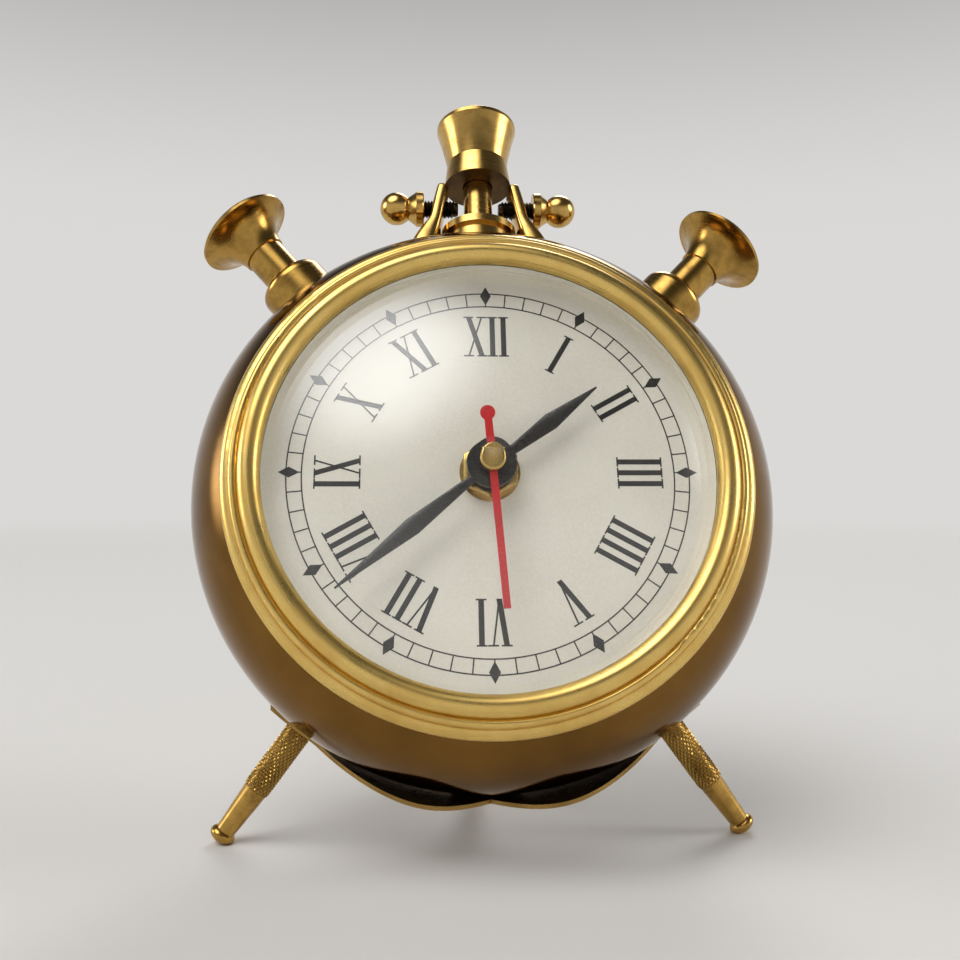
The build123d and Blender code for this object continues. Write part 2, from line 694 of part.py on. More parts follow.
hour_hand = pointed_hand(
    HOUR_HAND_ANGLE,
    HOUR_HAND_HEIGHT,
    HOUR_HAND_THICKNESS,
    HOUR_HAND_LENGTH,
    HOUR_HAND_WIDTH,
    HOUR_HAND_BROAD_RADIUS,
    HOUR_HAND_ROOT_WIDTH,
    HOUR_HAND_HUB_RADIUS,
    HOUR_TUBE_RADIUS,
)
keep(hour_hand, "hour_hand")

minute_hand = pointed_hand(
    MINUTE_HAND_ANGLE,
    MINUTE_HAND_HEIGHT,
    MINUTE_HAND_THICKNESS,
    MINUTE_HAND_LENGTH,
    MINUTE_HAND_WIDTH,
    MINUTE_HAND_BROAD_RADIUS,
    MINUTE_HAND_ROOT_WIDTH,
    MINUTE_HAND_HUB_RADIUS,
    MINUTE_PIPE_RADIUS,
)
keep(minute_hand, "minute_hand")

# Second hand: a straight needle with a round tail
with BuildPart() as second_hand:
    with BuildSketch(hand_plane(SECOND_HAND_ANGLE, SECOND_HAND_HEIGHT)):
        with BuildLine():
            Polyline(
                (-SECOND_HAND_WIDTH / 2, -SECOND_HAND_TAIL),
                (-SECOND_HAND_WIDTH / 2, 0),
                (-SECOND_HAND_TIP_WIDTH / 2, SECOND_HAND_LENGTH),
                (SECOND_HAND_TIP_WIDTH / 2, SECOND_HAND_LENGTH),
                (SECOND_HAND_WIDTH / 2, 0),
                (SECOND_HAND_WIDTH / 2, -SECOND_HAND_TAIL),
                close=True,
            )
        make_face()
        Circle(CAP_RADIUS - TUBE_PROUD)
        with Locations((0, -SECOND_HAND_TAIL)):
            Circle(SECOND_HAND_TAIL_RADIUS)
        Circle(SECONDS_ARBOR_RADIUS, mode=Mode.SUBTRACT)
    extrude(amount=SECOND_HAND_THICKNESS)
keep(second_hand, "second_hand")

# Cap over the arbor's end, flat with a rounded edge
cap_seat = SECOND_HAND_HEIGHT + SECOND_HAND_THICKNESS
cap_top = cap_seat + CAP_HEIGHT
with BuildPart() as seconds_cap:
    with BuildSketch(section_plane()):
        with BuildLine():
            Polyline(
                (CAP_RADIUS - CAP_ROUNDING, cap_top),
                (0, cap_top),
                (0, SECONDS_ARBOR_TOP),
                (SECONDS_ARBOR_RADIUS, SECONDS_ARBOR_TOP),
                (SECONDS_ARBOR_RADIUS, cap_seat),
                (CAP_RADIUS, cap_seat),
                (CAP_RADIUS, cap_top - CAP_ROUNDING),
            )
            RadiusArc(
                (CAP_RADIUS, cap_top - CAP_ROUNDING),
                (CAP_RADIUS - CAP_ROUNDING, cap_top),
                -CAP_ROUNDING,
            )
        make_face()
    revolve(axis=arbor_axis())
keep(seconds_cap, "seconds_cap")

# Hour wheel on its tube
with BuildPart() as hour_wheel:
    add(toothed(CENTRE, MOTION, HOUR_TEETH, HOUR_MODULE, HOUR_WHEEL_DEPTH, WHEEL_THICKNESS, False).part)
    add(rod(HOUR_TUBE_TOP, HOUR_TUBE_TOP + HOUR_WHEEL_DEPTH + WHEEL_THICKNESS, HOUR_TUBE_RADIUS).part)
    with BuildSketch(dial_plane(HOUR_TUBE_TOP + OVERRUN)):
        Circle(MINUTE_PIPE_RADIUS + RUNNING_CLEARANCE)
    extrude(amount=-(HOUR_TUBE_TOP + HOUR_WHEEL_DEPTH + 3 * OVERRUN), mode=Mode.SUBTRACT)
keep(hour_wheel, "hour_wheel")

# Centre wheel, cannon pinion and minute pipe in one piece
with BuildPart() as minute_wheel:
    add(toothed(CENTRE, THIRD, CENTRE_TEETH, CENTRE_MESH_MODULE, CENTRE_WHEEL_DEPTH, WHEEL_THICKNESS, False).part)
    add(toothed(
        CENTRE, MOTION, CANNON_TEETH, MINUTE_MODULE, CANNON_PINION_DEPTH, CANNON_PINION_LENGTH, True
    ).part)
    add(rod(MINUTE_PIPE_TOP, MINUTE_PIPE_TOP + CENTRE_WHEEL_DEPTH + WHEEL_THICKNESS, MINUTE_PIPE_RADIUS).part)
    with BuildSketch(dial_plane(MINUTE_PIPE_TOP + OVERRUN)):
        Circle(SECONDS_ARBOR_RADIUS + RUNNING_CLEARANCE)
    extrude(amount=-(MINUTE_PIPE_TOP + CENTRE_WHEEL_DEPTH + 3 * OVERRUN), mode=Mode.SUBTRACT)
keep(minute_wheel, "minute_wheel")

# Seconds arbor with its pinion, and the wheel pressed on it
pivot_end = MOVEMENT_CEILING + PIVOT_DEPTH - RUNNING_CLEARANCE
with BuildPart() as seconds_arbor:
    add(rod(SECONDS_ARBOR_TOP, SECONDS_ARBOR_TOP + pivot_end, SECONDS_ARBOR_RADIUS).part)
    add(toothed(CENTRE, THIRD, PINION_TEETH, TRAIN_MODULE, SECONDS_PINION_DEPTH, PINION_LENGTH, True).part)
keep(seconds_arbor, "seconds_arbor")

with BuildPart() as seconds_wheel:
    add(toothed(CENTRE, INTERMEDIATE, SECONDS_TEETH, TRAIN_MODULE, SECONDS_WHEEL_DEPTH, WHEEL_THICKNESS, False).part)
    with BuildSketch(dial_plane(-SECONDS_WHEEL_DEPTH)):
        Circle(SECONDS_ARBOR_RADIUS)
    extrude(amount=-WHEEL_THICKNESS, mode=Mode.SUBTRACT)
keep(seconds_wheel, "seconds_wheel")

# Third wheel: spans the movement from front wall to rear wall
front_pivot = MOVEMENT_FLOOR - PIVOT_DEPTH + RUNNING_CLEARANCE
with BuildPart() as third_wheel:
    add(rod(-front_pivot, pivot_end - front_pivot, ARBOR_RADIUS, THIRD).part)
    add(toothed(THIRD, CENTRE, THIRD_TEETH, TRAIN_MODULE, THIRD_WHEEL_DEPTH, WHEEL_THICKNESS, False).part)
    add(toothed(THIRD, CENTRE, PINION_TEETH, CENTRE_MESH_MODULE, THIRD_PINION_DEPTH, PINION_LENGTH, True).part)
keep(third_wheel, "third_wheel")

# Intermediate wheel: from the bridge to the rear wall
with BuildPart() as intermediate_wheel:
    add(rod(-BRIDGE_FRONT, pivot_end - BRIDGE_FRONT, ARBOR_RADIUS, INTERMEDIATE).part)
    add(toothed(
        INTERMEDIATE, CENTRE, PINION_TEETH, TRAIN_MODULE, INTERMEDIATE_PINION_DEPTH, PINION_LENGTH, True
    ).part)
    add(toothed(
        INTERMEDIATE, ROTOR, INTERMEDIATE_TEETH, TRAIN_MODULE, INTERMEDIATE_WHEEL_DEPTH, WHEEL_THICKNESS, False
    ).part)
keep(intermediate_wheel, "intermediate_wheel")

# Rotor: pinion on its arbor, and the magnet pressed on it
with BuildPart() as rotor_pinion:
    add(rod(-BRIDGE_FRONT, pivot_end - BRIDGE_FRONT, ARBOR_RADIUS, ROTOR).part)
    add(toothed(ROTOR, INTERMEDIATE, PINION_TEETH, TRAIN_MODULE, ROTOR_PINION_DEPTH, PINION_LENGTH, True).part)
keep(rotor_pinion, "rotor_pinion")
keep(ring(-ROTOR_MAGNET_DEPTH, ROTOR_MAGNET_LENGTH, ROTOR_MAGNET_RADIUS, ARBOR_RADIUS, ROTOR), "rotor_magnet")

# Motion wheel and pinion on their post
motion_bore = MOTION_POST_RADIUS + RUNNING_CLEARANCE
with BuildPart() as motion_wheel:
    add(toothed(MOTION, CENTRE, MOTION_TEETH, MINUTE_MODULE, MOTION_WHEEL_DEPTH, WHEEL_THICKNESS, False).part)
    add(toothed(
        MOTION,
        CENTRE,
        MOTION_PINION_TEETH,
        HOUR_MODULE,
        MOTION_PINION_DEPTH,
        MOTION_WHEEL_DEPTH - MOTION_PINION_DEPTH,
        True,
    ).part)
    with BuildSketch(dial_plane(-MOTION_PINION_DEPTH + OVERRUN, MOTION)):
        Circle(motion_bore)
    extrude(amount=-3 * OVERRUN, mode=Mode.SUBTRACT)
keep(motion_wheel, "motion_wheel")

motion_post_end = MOTION_WHEEL_DEPTH + WHEEL_THICKNESS + MOTION_POST_REACH
motion_post_start = MOVEMENT_FLOOR - PIVOT_DEPTH
keep(rod(-motion_post_start, motion_post_end - motion_post_start, MOTION_POST_RADIUS, MOTION), "motion_post")

# Setting stem with its pinion, which reaches out through the rear cover to the knob
knob_front = REAR_DEPTH + SETTING_KNOB_GAP
stem_end = knob_front + SETTING_KNOB_LENGTH / 2
with BuildPart() as setting_stem:
    add(rod(-SETTING_PINION_DEPTH, stem_end - SETTING_PINION_DEPTH, SETTING_STEM_RADIUS, SETTING).part)
    add(toothed(
        SETTING, MOTION, CANNON_TEETH, MINUTE_MODULE, SETTING_PINION_DEPTH, SETTING_PINION_LENGTH, True
    ).part)
keep(setting_stem, "setting_stem")

with BuildPart() as setting_knob:
    with BuildSketch(dial_plane(-knob_front, SETTING)):
        Circle(SETTING_KNOB_RADIUS)
        with PolarLocations(SETTING_KNOB_RADIUS, SETTING_KNOB_FLUTES):
            Circle(SETTING_KNOB_FLUTE_RADIUS, mode=Mode.SUBTRACT)
    extrude(amount=-SETTING_KNOB_LENGTH)
    with BuildSketch(dial_plane(-knob_front, SETTING)):
        Circle(SETTING_STEM_RADIUS)
    extrude(amount=-(stem_end - knob_front), mode=Mode.SUBTRACT)
keep(setting_knob, "setting_knob")

# Movement: front half with the threaded bush, posts and pivot holes
bridge_post_places = [
    (side * (BRIDGE_HALF_WIDTH - BRIDGE_POST_INSET), height)
    for side in (-1, 1)
    for height in (BRIDGE_TOP - BRIDGE_POST_INSET, BRIDGE_POST_INSET - BRIDGE_BOTTOM)
]
board_post_places = [
    (side * (BOARD_WIDTH / 2 - BOARD_POST_INSET) - BOARD_CENTRE_LEFT, BOARD_CENTRE_UP) for side in (-1, 1)
]
inner_corner = MOVEMENT_CORNER_RADIUS - MOVEMENT_WALL
with BuildPart() as movement_front:
    with BuildSketch(dial_plane(-MOVEMENT_FRONT)):
        RectangleRounded(MOVEMENT_WIDTH, MOVEMENT_WIDTH, MOVEMENT_CORNER_RADIUS)
    extrude(amount=-MOVEMENT_SPLIT)
    with BuildSketch(dial_plane(-MOVEMENT_FLOOR)):
        RectangleRounded(MOVEMENT_INNER_WIDTH, MOVEMENT_INNER_WIDTH, inner_corner)
    extrude(amount=-MOVEMENT_SPLIT, mode=Mode.SUBTRACT)
    with BuildSketch(dial_plane(BUSH_TOP)):
        Circle(BUSH_RADIUS)
    extrude(amount=-(BUSH_TOP + MOVEMENT_FRONT))
    with BuildSketch(dial_plane(-MOVEMENT_FLOOR)):
        with Locations(*bridge_post_places):
            Circle(BRIDGE_POST_RADIUS)
    extrude(amount=-(BRIDGE_FRONT - MOVEMENT_FLOOR))
    with BuildSketch(dial_plane(-MOVEMENT_FLOOR)):
        with Locations(*board_post_places):
            Circle(BOARD_POST_RADIUS)
    extrude(amount=-(BOARD_DEPTH - MOVEMENT_FLOOR))
    with BuildSketch(dial_plane(BUSH_TOP + OVERRUN)):
        Circle(HOUR_TUBE_RADIUS + RUNNING_CLEARANCE)
    extrude(amount=-(BUSH_TOP + MOVEMENT_FLOOR + OVERRUN), mode=Mode.SUBTRACT)
    with BuildSketch(dial_plane(-MOVEMENT_FLOOR)):
        with Locations(THIRD):
            Circle(ARBOR_RADIUS + RUNNING_CLEARANCE)
        with Locations(MOTION):
            Circle(MOTION_POST_RADIUS)
    extrude(amount=PIVOT_DEPTH, mode=Mode.SUBTRACT)
keep(movement_front, "movement_front")

# Movement: rear half with pivot holes, the setting stem's hole and the battery window
battery_window_width = MOVEMENT_INNER_WIDTH - 2 * CONTACT_THICKNESS
with BuildPart() as movement_back:
    with BuildSketch(dial_plane(-MOVEMENT_JOIN)):
        RectangleRounded(MOVEMENT_WIDTH, MOVEMENT_WIDTH, MOVEMENT_CORNER_RADIUS)
    extrude(amount=-(MOVEMENT_BACK - MOVEMENT_JOIN))
    with BuildSketch(dial_plane(-MOVEMENT_JOIN)):
        RectangleRounded(MOVEMENT_INNER_WIDTH, MOVEMENT_INNER_WIDTH, inner_corner)
    extrude(amount=-(MOVEMENT_CEILING - MOVEMENT_JOIN), mode=Mode.SUBTRACT)
    with BuildSketch(dial_plane(-MOVEMENT_CEILING)):
        Circle(SECONDS_ARBOR_RADIUS + RUNNING_CLEARANCE)
        with Locations(THIRD, INTERMEDIATE, ROTOR):
            Circle(ARBOR_RADIUS + RUNNING_CLEARANCE)
    extrude(amount=-PIVOT_DEPTH, mode=Mode.SUBTRACT)
    with BuildSketch(dial_plane(-MOVEMENT_CEILING)):
        with Locations(SETTING):
            Circle(SETTING_STEM_RADIUS + RUNNING_CLEARANCE)
        with Locations((0, -BATTERY_DROP)):
            Rectangle(battery_window_width, 2 * (BATTERY_RADIUS + BATTERY_FLOOR_GAP))
    extrude(amount=-(MOVEMENT_WALL + OVERRUN), mode=Mode.SUBTRACT)
keep(movement_back, "movement_back")

# Train bridge on the posts of the front half
with BuildPart() as train_bridge:
    with BuildSketch(dial_plane(-BRIDGE_FRONT)):
        with Locations((0, (BRIDGE_TOP - BRIDGE_BOTTOM) / 2)):
            Rectangle(2 * BRIDGE_HALF_WIDTH, BRIDGE_TOP + BRIDGE_BOTTOM)
        Circle(SECONDS_ARBOR_RADIUS + RUNNING_CLEARANCE, mode=Mode.SUBTRACT)
        with Locations(THIRD, INTERMEDIATE, ROTOR):
            Circle(ARBOR_RADIUS + RUNNING_CLEARANCE, mode=Mode.SUBTRACT)
        with Locations(SETTING):
            Circle(SETTING_STEM_RADIUS + RUNNING_CLEARANCE, mode=Mode.SUBTRACT)
    extrude(amount=-BRIDGE_THICKNESS)
keep(train_bridge, "train_bridge")

# Stator plate on the bridge, around the rotor, with two arms up to the coil
stator_foot = ROTOR[1] - STATOR_BASE_DROP
arm_foot = stator_foot + STATOR_BASE_HEIGHT
arm_middle = arm_foot + STATOR_ARM_LENGTH / 2
arm_offset = STATOR_HALF_WIDTH - STATOR_ARM_WIDTH / 2
with BuildPart() as stator:
    with BuildSketch(dial_plane(-BRIDGE_BACK)):
        with Locations((ROTOR[0], stator_foot + STATOR_BASE_HEIGHT / 2)):
            Rectangle(2 * STATOR_HALF_WIDTH, STATOR_BASE_HEIGHT)
        with Locations((ROTOR[0] - arm_offset, arm_middle), (ROTOR[0] + arm_offset, arm_middle)):
            Rectangle(STATOR_ARM_WIDTH, STATOR_ARM_LENGTH)
        with Locations(ROTOR):
            Circle(ROTOR_MAGNET_RADIUS + ROTOR_AIR_GAP, mode=Mode.SUBTRACT)
    extrude(amount=-STATOR_THICKNESS)
keep(stator, "stator")

# Coil core lying on the arms, and the winding around it
core_depth = BRIDGE_BACK + STATOR_THICKNESS
core_up = arm_foot + STATOR_ARM_LENGTH - CORE_INSET - CORE_WIDTH / 2
with BuildPart() as coil_core:
    with BuildSketch(dial_plane(-core_depth)):
        with Locations((ROTOR[0], core_up)):
            Rectangle(2 * STATOR_HALF_WIDTH, CORE_WIDTH)
    extrude(amount=-CORE_THICKNESS)
keep(coil_core, "coil_core")

coil_half = STATOR_HALF_WIDTH - STATOR_ARM_WIDTH - COIL_END_GAP
coil_centre = CLOCK.from_local_coords((ROTOR[0] - coil_half, core_up, -core_depth - CORE_THICKNESS / 2))
with BuildPart() as coil_winding:
    with BuildSketch(Plane(origin=coil_centre, x_dir=CLOCK.y_dir, z_dir=CLOCK.x_dir)):
        Circle(COIL_RADIUS)
        Rectangle(CORE_WIDTH + 2 * RUNNING_CLEARANCE, CORE_THICKNESS + 2 * RUNNING_CLEARANCE, mode=Mode.SUBTRACT)
    extrude(amount=2 * coil_half)
keep(coil_winding, "coil_winding")

# Circuit board on its two posts
with BuildPart() as circuit_board:
    with BuildSketch(dial_plane(-BOARD_DEPTH)):
        with Locations((-BOARD_CENTRE_LEFT, BOARD_CENTRE_UP)):
            Rectangle(BOARD_WIDTH, BOARD_HEIGHT)
    extrude(amount=-BOARD_THICKNESS)
keep(circuit_board, "circuit_board")

# Battery lying across, and its two contacts against the housing's side walls
half_bay = MOVEMENT_INNER_WIDTH / 2
nub_end = half_bay - CONTACT_THICKNESS
battery_start = nub_end - BATTERY_NUB_LENGTH - BATTERY_LENGTH
battery_middle = CLOCK.from_local_coords((0, -BATTERY_DROP, -BATTERY_DEPTH))
battery_section = Plane(origin=battery_middle, x_dir=CLOCK.x_dir, z_dir=CLOCK.z_dir)
battery_axis = Axis(battery_middle, CLOCK.x_dir)
battery = turned(
    battery_section,
    battery_axis,
    [
        (battery_start, 0),
        (battery_start, BATTERY_RADIUS),
        (nub_end - BATTERY_NUB_LENGTH, BATTERY_RADIUS),
        (nub_end - BATTERY_NUB_LENGTH, BATTERY_NUB_RADIUS),
        (nub_end, BATTERY_NUB_RADIUS),
        (nub_end, 0),
    ],
)
keep(battery, "battery")

contact_plane = Plane(origin=battery_middle, x_dir=CLOCK.y_dir, z_dir=CLOCK.x_dir)
with BuildPart() as battery_contact_plus:
    with BuildSketch(contact_plane.offset(nub_end)):
        Rectangle(CONTACT_WIDTH, CONTACT_WIDTH)
    extrude(amount=CONTACT_THICKNESS)
keep(battery_contact_plus, "battery_contact_plus")

with BuildPart() as battery_contact_minus:
    with BuildSketch(contact_plane.offset(-half_bay)):
        Rectangle(CONTACT_WIDTH, CONTACT_WIDTH)
    extrude(amount=CONTACT_THICKNESS)
    with BuildSketch(contact_plane.offset(-nub_end)):
        Circle(CONTACT_SPRING_RADIUS)
    with BuildSketch(contact_plane.offset(battery_start)):
        Circle(CONTACT_SPRING_TIP_RADIUS)
    loft()
keep(battery_contact_minus, "battery_contact_minus")

# Flanged crown washer, stem with stud and pin, crown and the screw that holds it
crown_section = spoke_section(0)
crown_axis = spoke_axis(0)
stud_hole = CROWN_STUD_RADIUS + RUNNING_CLEARANCE
crown_washer = turned(
    crown_section,
    crown_axis,
    [
        (stud_hole, CROWN_SEAT),
        (CROWN_WASHER_RADIUS, CROWN_SEAT),
        (CROWN_WASHER_RADIUS, CROWN_STEM_FOOT - CROWN_FLANGE_HEIGHT),
        (CROWN_FLANGE_RADIUS, CROWN_STEM_FOOT - CROWN_FLANGE_HEIGHT),
        (CROWN_FLANGE_RADIUS, CROWN_STEM_FOOT),
        (stud_hole, CROWN_STEM_FOOT),
    ],
)
keep(crown_washer, "crown_washer")

pin_top = CROWN_SHOULDER + CROWN_PIN_LENGTH
screw_hole = CROWN_SCREW_RADIUS + RUNNING_CLEARANCE
screw_hole_floor = pin_top - CROWN_SCREW_LENGTH - RUNNING_CLEARANCE
crown_stem = turned(
    crown_section,
    crown_axis,
    [
        (0, CROWN_STEM_FOOT - CROWN_STUD_LENGTH),
        (CROWN_STUD_RADIUS, CROWN_STEM_FOOT - CROWN_STUD_LENGTH),
        (CROWN_STUD_RADIUS, CROWN_STEM_FOOT),
        (CROWN_STEM_RADIUS, CROWN_STEM_FOOT),
        (CROWN_STEM_RADIUS, CROWN_SHOULDER),
        (CROWN_PIN_RADIUS, CROWN_SHOULDER),
        (CROWN_PIN_RADIUS, pin_top),
        (screw_hole, pin_top),
        (screw_hole, screw_hole_floor),
        (0, screw_hole_floor),
    ],
)
keep(crown_stem, "crown_stem")

bowl_floor = pin_top - RUNNING_CLEARANCE
hub_foot = CROWN_SHOULDER + RUNNING_CLEARANCE
crown_bore = CROWN_PIN_RADIUS + RUNNING_CLEARANCE
skirt_bore = CROWN_STEM_RADIUS + SEAT_CLEARANCE
crown_waist = CROWN_FOOT + CROWN_WAIST_RISE
crown_rim = CROWN_FOOT + CROWN_RIM_RISE
flare_radius = CROWN_WAIST_RADIUS + CROWN_FLARE_BULGE_SHARE * (CROWN_RIM_RADIUS - CROWN_WAIST_RADIUS)
with BuildPart() as crown:
    with BuildSketch(crown_section):
        with BuildLine():
            Polyline(
                (CROWN_WAIST_RADIUS, crown_waist),
                (CROWN_SKIRT_RADIUS, CROWN_FOOT),
                (skirt_bore, CROWN_FOOT),
                (skirt_bore, hub_foot),
                (crown_bore, hub_foot),
                (crown_bore, bowl_floor),
                (CROWN_BOWL_FLOOR_RADIUS, bowl_floor),
                (CROWN_RIM_RADIUS - CROWN_RIM_WIDTH, CROWN_TOP),
                (CROWN_RIM_RADIUS - CROWN_RIM_ROUNDING, CROWN_TOP),
                (CROWN_RIM_RADIUS, CROWN_TOP - CROWN_RIM_ROUNDING),
                (CROWN_RIM_RADIUS, crown_rim),
            )
            ThreePointArc(
                (CROWN_RIM_RADIUS, crown_rim),
                (flare_radius, (crown_rim + crown_waist) / 2),
                (CROWN_WAIST_RADIUS, crown_waist),
            )
        make_face()
    revolve(axis=crown_axis)
keep(crown, "crown")

crown_screw = turned(
    crown_section,
    crown_axis,
    [
        (0, pin_top - CROWN_SCREW_LENGTH),
        (CROWN_SCREW_RADIUS, pin_top - CROWN_SCREW_LENGTH),
        (CROWN_SCREW_RADIUS, pin_top),
        (CROWN_SCREW_HEAD_RADIUS, pin_top),
        (CROWN_SCREW_HEAD_RADIUS, pin_top + CROWN_SCREW_HEAD_HEIGHT / 2),
        (CROWN_SCREW_HEAD_RADIUS / 2, pin_top + CROWN_SCREW_HEAD_HEIGHT),
        (0, pin_top + CROWN_SCREW_HEAD_HEIGHT),
    ],
)
keep(crown_screw, "crown_screw")


def ear(side):
    """Wedge lug beside the crown, rooted in the case, with a hole for its thumb screw."""
    root = CROWN_SEAT - EAR_ROOT_SINK
    top = CROWN_SEAT + EAR_HEIGHT
    with BuildPart() as lug:
        with BuildSketch(spoke_plane(0, root)):
            with Locations((side * EAR_ROOT_CENTRE, 0)):
                Rectangle(EAR_ROOT_WIDTH, EAR_ROOT_DEPTH)
        with BuildSketch(spoke_plane(0, top)):
            with Locations((side * EAR_TOP_CENTRE, 0)):
                Rectangle(EAR_TOP_WIDTH, EAR_TOP_DEPTH)
        loft()
        fillet(lug.edges().group_by(spoke_axis(0))[1], EAR_EDGE_ROUNDING)
        fillet(lug.edges().group_by(spoke_axis(0))[-1], EAR_ROUNDING)
        with BuildSketch(Plane(thumb_plane(side).origin, x_dir=CLOCK.y_dir, z_dir=CLOCK.x_dir * side)):
            Circle(THUMB_STUD_RADIUS + RUNNING_CLEARANCE)
        extrude(amount=THUMB_STUD_OUTER, mode=Mode.SUBTRACT)
    return lug


def thumb_knob(side):
    """Turned knob on the stud's end: a bell, a neck and a ball."""
    neck_angle = asin(THUMB_NECK_RADIUS / THUMB_BALL_RADIUS)
    neck_end = THUMB_BALL_CENTRE - THUMB_BALL_RADIUS * cos(neck_angle)
    bell_end = THUMB_BELL_INNER + THUMB_BELL_LENGTH
    bell_hollow = ((bell_end + THUMB_NECK_PLACE) / 2, (THUMB_BELL_RADIUS + THUMB_NECK_RADIUS) / 2)
    hollow_pull = (THUMB_BELL_RADIUS - THUMB_NECK_RADIUS) / 4
    neck_place = min(THUMB_NECK_PLACE, neck_end)
    with BuildPart() as knob:
        with BuildSketch(thumb_plane(side)):
            with BuildLine():
                Polyline(
                    (THUMB_BALL_CENTRE + THUMB_BALL_RADIUS, 0),
                    (THUMB_STUD_OUTER, 0),
                    (THUMB_STUD_OUTER, THUMB_STUD_RADIUS),
                    (THUMB_BELL_INNER, THUMB_STUD_RADIUS),
                    (THUMB_BELL_INNER, THUMB_BELL_RADIUS),
                    (bell_end, THUMB_BELL_RADIUS),
                )
                ThreePointArc(
                    (bell_end, THUMB_BELL_RADIUS),
                    (bell_hollow[0] - hollow_pull, bell_hollow[1] - hollow_pull),
                    (neck_place, THUMB_NECK_RADIUS),
                )
                if neck_end > neck_place:
                    Line((neck_place, THUMB_NECK_RADIUS), (neck_end, THUMB_NECK_RADIUS))
                ThreePointArc(
                    (neck_end, THUMB_NECK_RADIUS),
                    (THUMB_BALL_CENTRE, THUMB_BALL_RADIUS),
                    (THUMB_BALL_CENTRE + THUMB_BALL_RADIUS, 0),
                )
            make_face()
        revolve(axis=thumb_axis(side))
    return knob


def thumb_stud(side):
    """Threaded stud through the ear."""
    return turned(
        thumb_plane(side),
        thumb_axis(side),
        [
            (THUMB_STUD_INNER, 0),
            (THUMB_STUD_INNER, THUMB_STUD_RADIUS),
            (THUMB_STUD_OUTER, THUMB_STUD_RADIUS),
            (THUMB_STUD_OUTER, 0),
        ],
    )


def collar(bearing):
    """Round-topped collar on the case with a tenon through its wall and a well for the push knob."""
    well = PUSHER_STEM_RADIUS + RUNNING_CLEARANCE
    rod_hole = PUSHER_ROD_RADIUS + RUNNING_CLEARANCE
    with BuildPart() as bead:
        with BuildSketch(spoke_section(bearing)):
            with BuildLine():
                Polyline(
                    (COLLAR_RADIUS - COLLAR_ROUNDING, COLLAR_TOP),
                    (well, COLLAR_TOP),
                    (well, SPRING_FOOT),
                    (rod_hole, SPRING_FOOT),
                    (rod_hole, TENON_END),
                    (TENON_RADIUS, TENON_END),
                    (TENON_RADIUS, COLLAR_SEAT),
                    (COLLAR_RADIUS, COLLAR_SEAT),
                    (COLLAR_RADIUS, COLLAR_TOP - COLLAR_ROUNDING),
                )
                RadiusArc(
                    (COLLAR_RADIUS, COLLAR_TOP - COLLAR_ROUNDING),
                    (COLLAR_RADIUS - COLLAR_ROUNDING, COLLAR_TOP),
                    -COLLAR_ROUNDING,
                )
            make_face()
        revolve(axis=spoke_axis(bearing))
    return bead


def pusher(bearing):
    """Push knob: a stem, a trumpet head with a dished end, and a thin rod below."""
    head_top = PUSHER_HEAD_BASE + PUSHER_HEAD_HEIGHT
    rim_foot = head_top - PUSHER_HEAD_EDGE
    head_root = PUSHER_STEM_RADIUS + PUSHER_HEAD_STEP
    flare_middle = ((head_root + PUSHER_HEAD_RADIUS) / 2, (PUSHER_HEAD_BASE + rim_foot) / 2)
    sag = PUSHER_FLARE_SAG / sqrt(2)
    edge = PUSHER_HEAD_EDGE / 2
    dish_radius = PUSHER_HEAD_RADIUS - 2 * edge
    with BuildPart() as knob:
        with BuildSketch(spoke_section(bearing)):
            with BuildLine():
                Polyline(
                    (0, head_top - PUSHER_DISH_DEPTH),
                    (0, PUSHER_ROD_END),
                    (PUSHER_ROD_RADIUS, PUSHER_ROD_END),
                    (PUSHER_ROD_RADIUS, PUSHER_STEM_FOOT),
                    (PUSHER_STEM_RADIUS, PUSHER_STEM_FOOT),
                    (PUSHER_STEM_RADIUS, PUSHER_HEAD_BASE),
                    (head_root, PUSHER_HEAD_BASE),
                )
                ThreePointArc(
                    (head_root, PUSHER_HEAD_BASE),
                    (flare_middle[0] - sag, flare_middle[1] + sag),
                    (PUSHER_HEAD_RADIUS, rim_foot),
                )
                Polyline(
                    (PUSHER_HEAD_RADIUS, rim_foot),
                    (PUSHER_HEAD_RADIUS, head_top - edge),
                    (PUSHER_HEAD_RADIUS - edge, head_top),
                    (dish_radius, head_top),
                )
                ThreePointArc(
                    (dish_radius, head_top),
                    (dish_radius / 2, head_top - dome_height(dish_radius / 2, dish_radius, PUSHER_DISH_DEPTH)),
                    (0, head_top - PUSHER_DISH_DEPTH),
                )
            make_face()
        revolve(axis=spoke_axis(bearing))
    return knob


def spoke_ring(bearing, start, end, radius, bore):
    """Round ring about a spoke of the case."""
    outline = [(bore, start), (radius, start), (radius, end), (bore, end)]
    return turned(spoke_section(bearing), spoke_axis(bearing), outline)


SIDES = {"left": -1, "right": 1}
PUSHER_BEARINGS = {"left": -LEFT_PUSHER_BEARING, "right": RIGHT_PUSHER_BEARING}
ears = {}
for word, side in SIDES.items():
    ears[word] = ear(side)
    keep(ears[word], f"{word}_ear")
    keep(thumb_stud(side), f"{word}_thumb_stud")
    keep(thumb_knob(side), f"{word}_thumb_knob")
    bearing = PUSHER_BEARINGS[word]
    spring_bore = PUSHER_ROD_RADIUS + SPRING_ROD_GAP
    keep(collar(bearing), f"{word}_collar")
    keep(pusher(bearing), f"{word}_pusher")
    keep(
        spoke_ring(bearing, CLIP_TOP - CLIP_THICKNESS, CLIP_TOP, CLIP_RADIUS, PUSHER_ROD_RADIUS),
        f"{word}_pusher_clip",
    )
    keep(
        spoke_ring(bearing, SPRING_FOOT, PUSHER_STEM_FOOT, spring_bore + SPRING_WIRE, spring_bore),
        f"{word}_pusher_spring",
    )


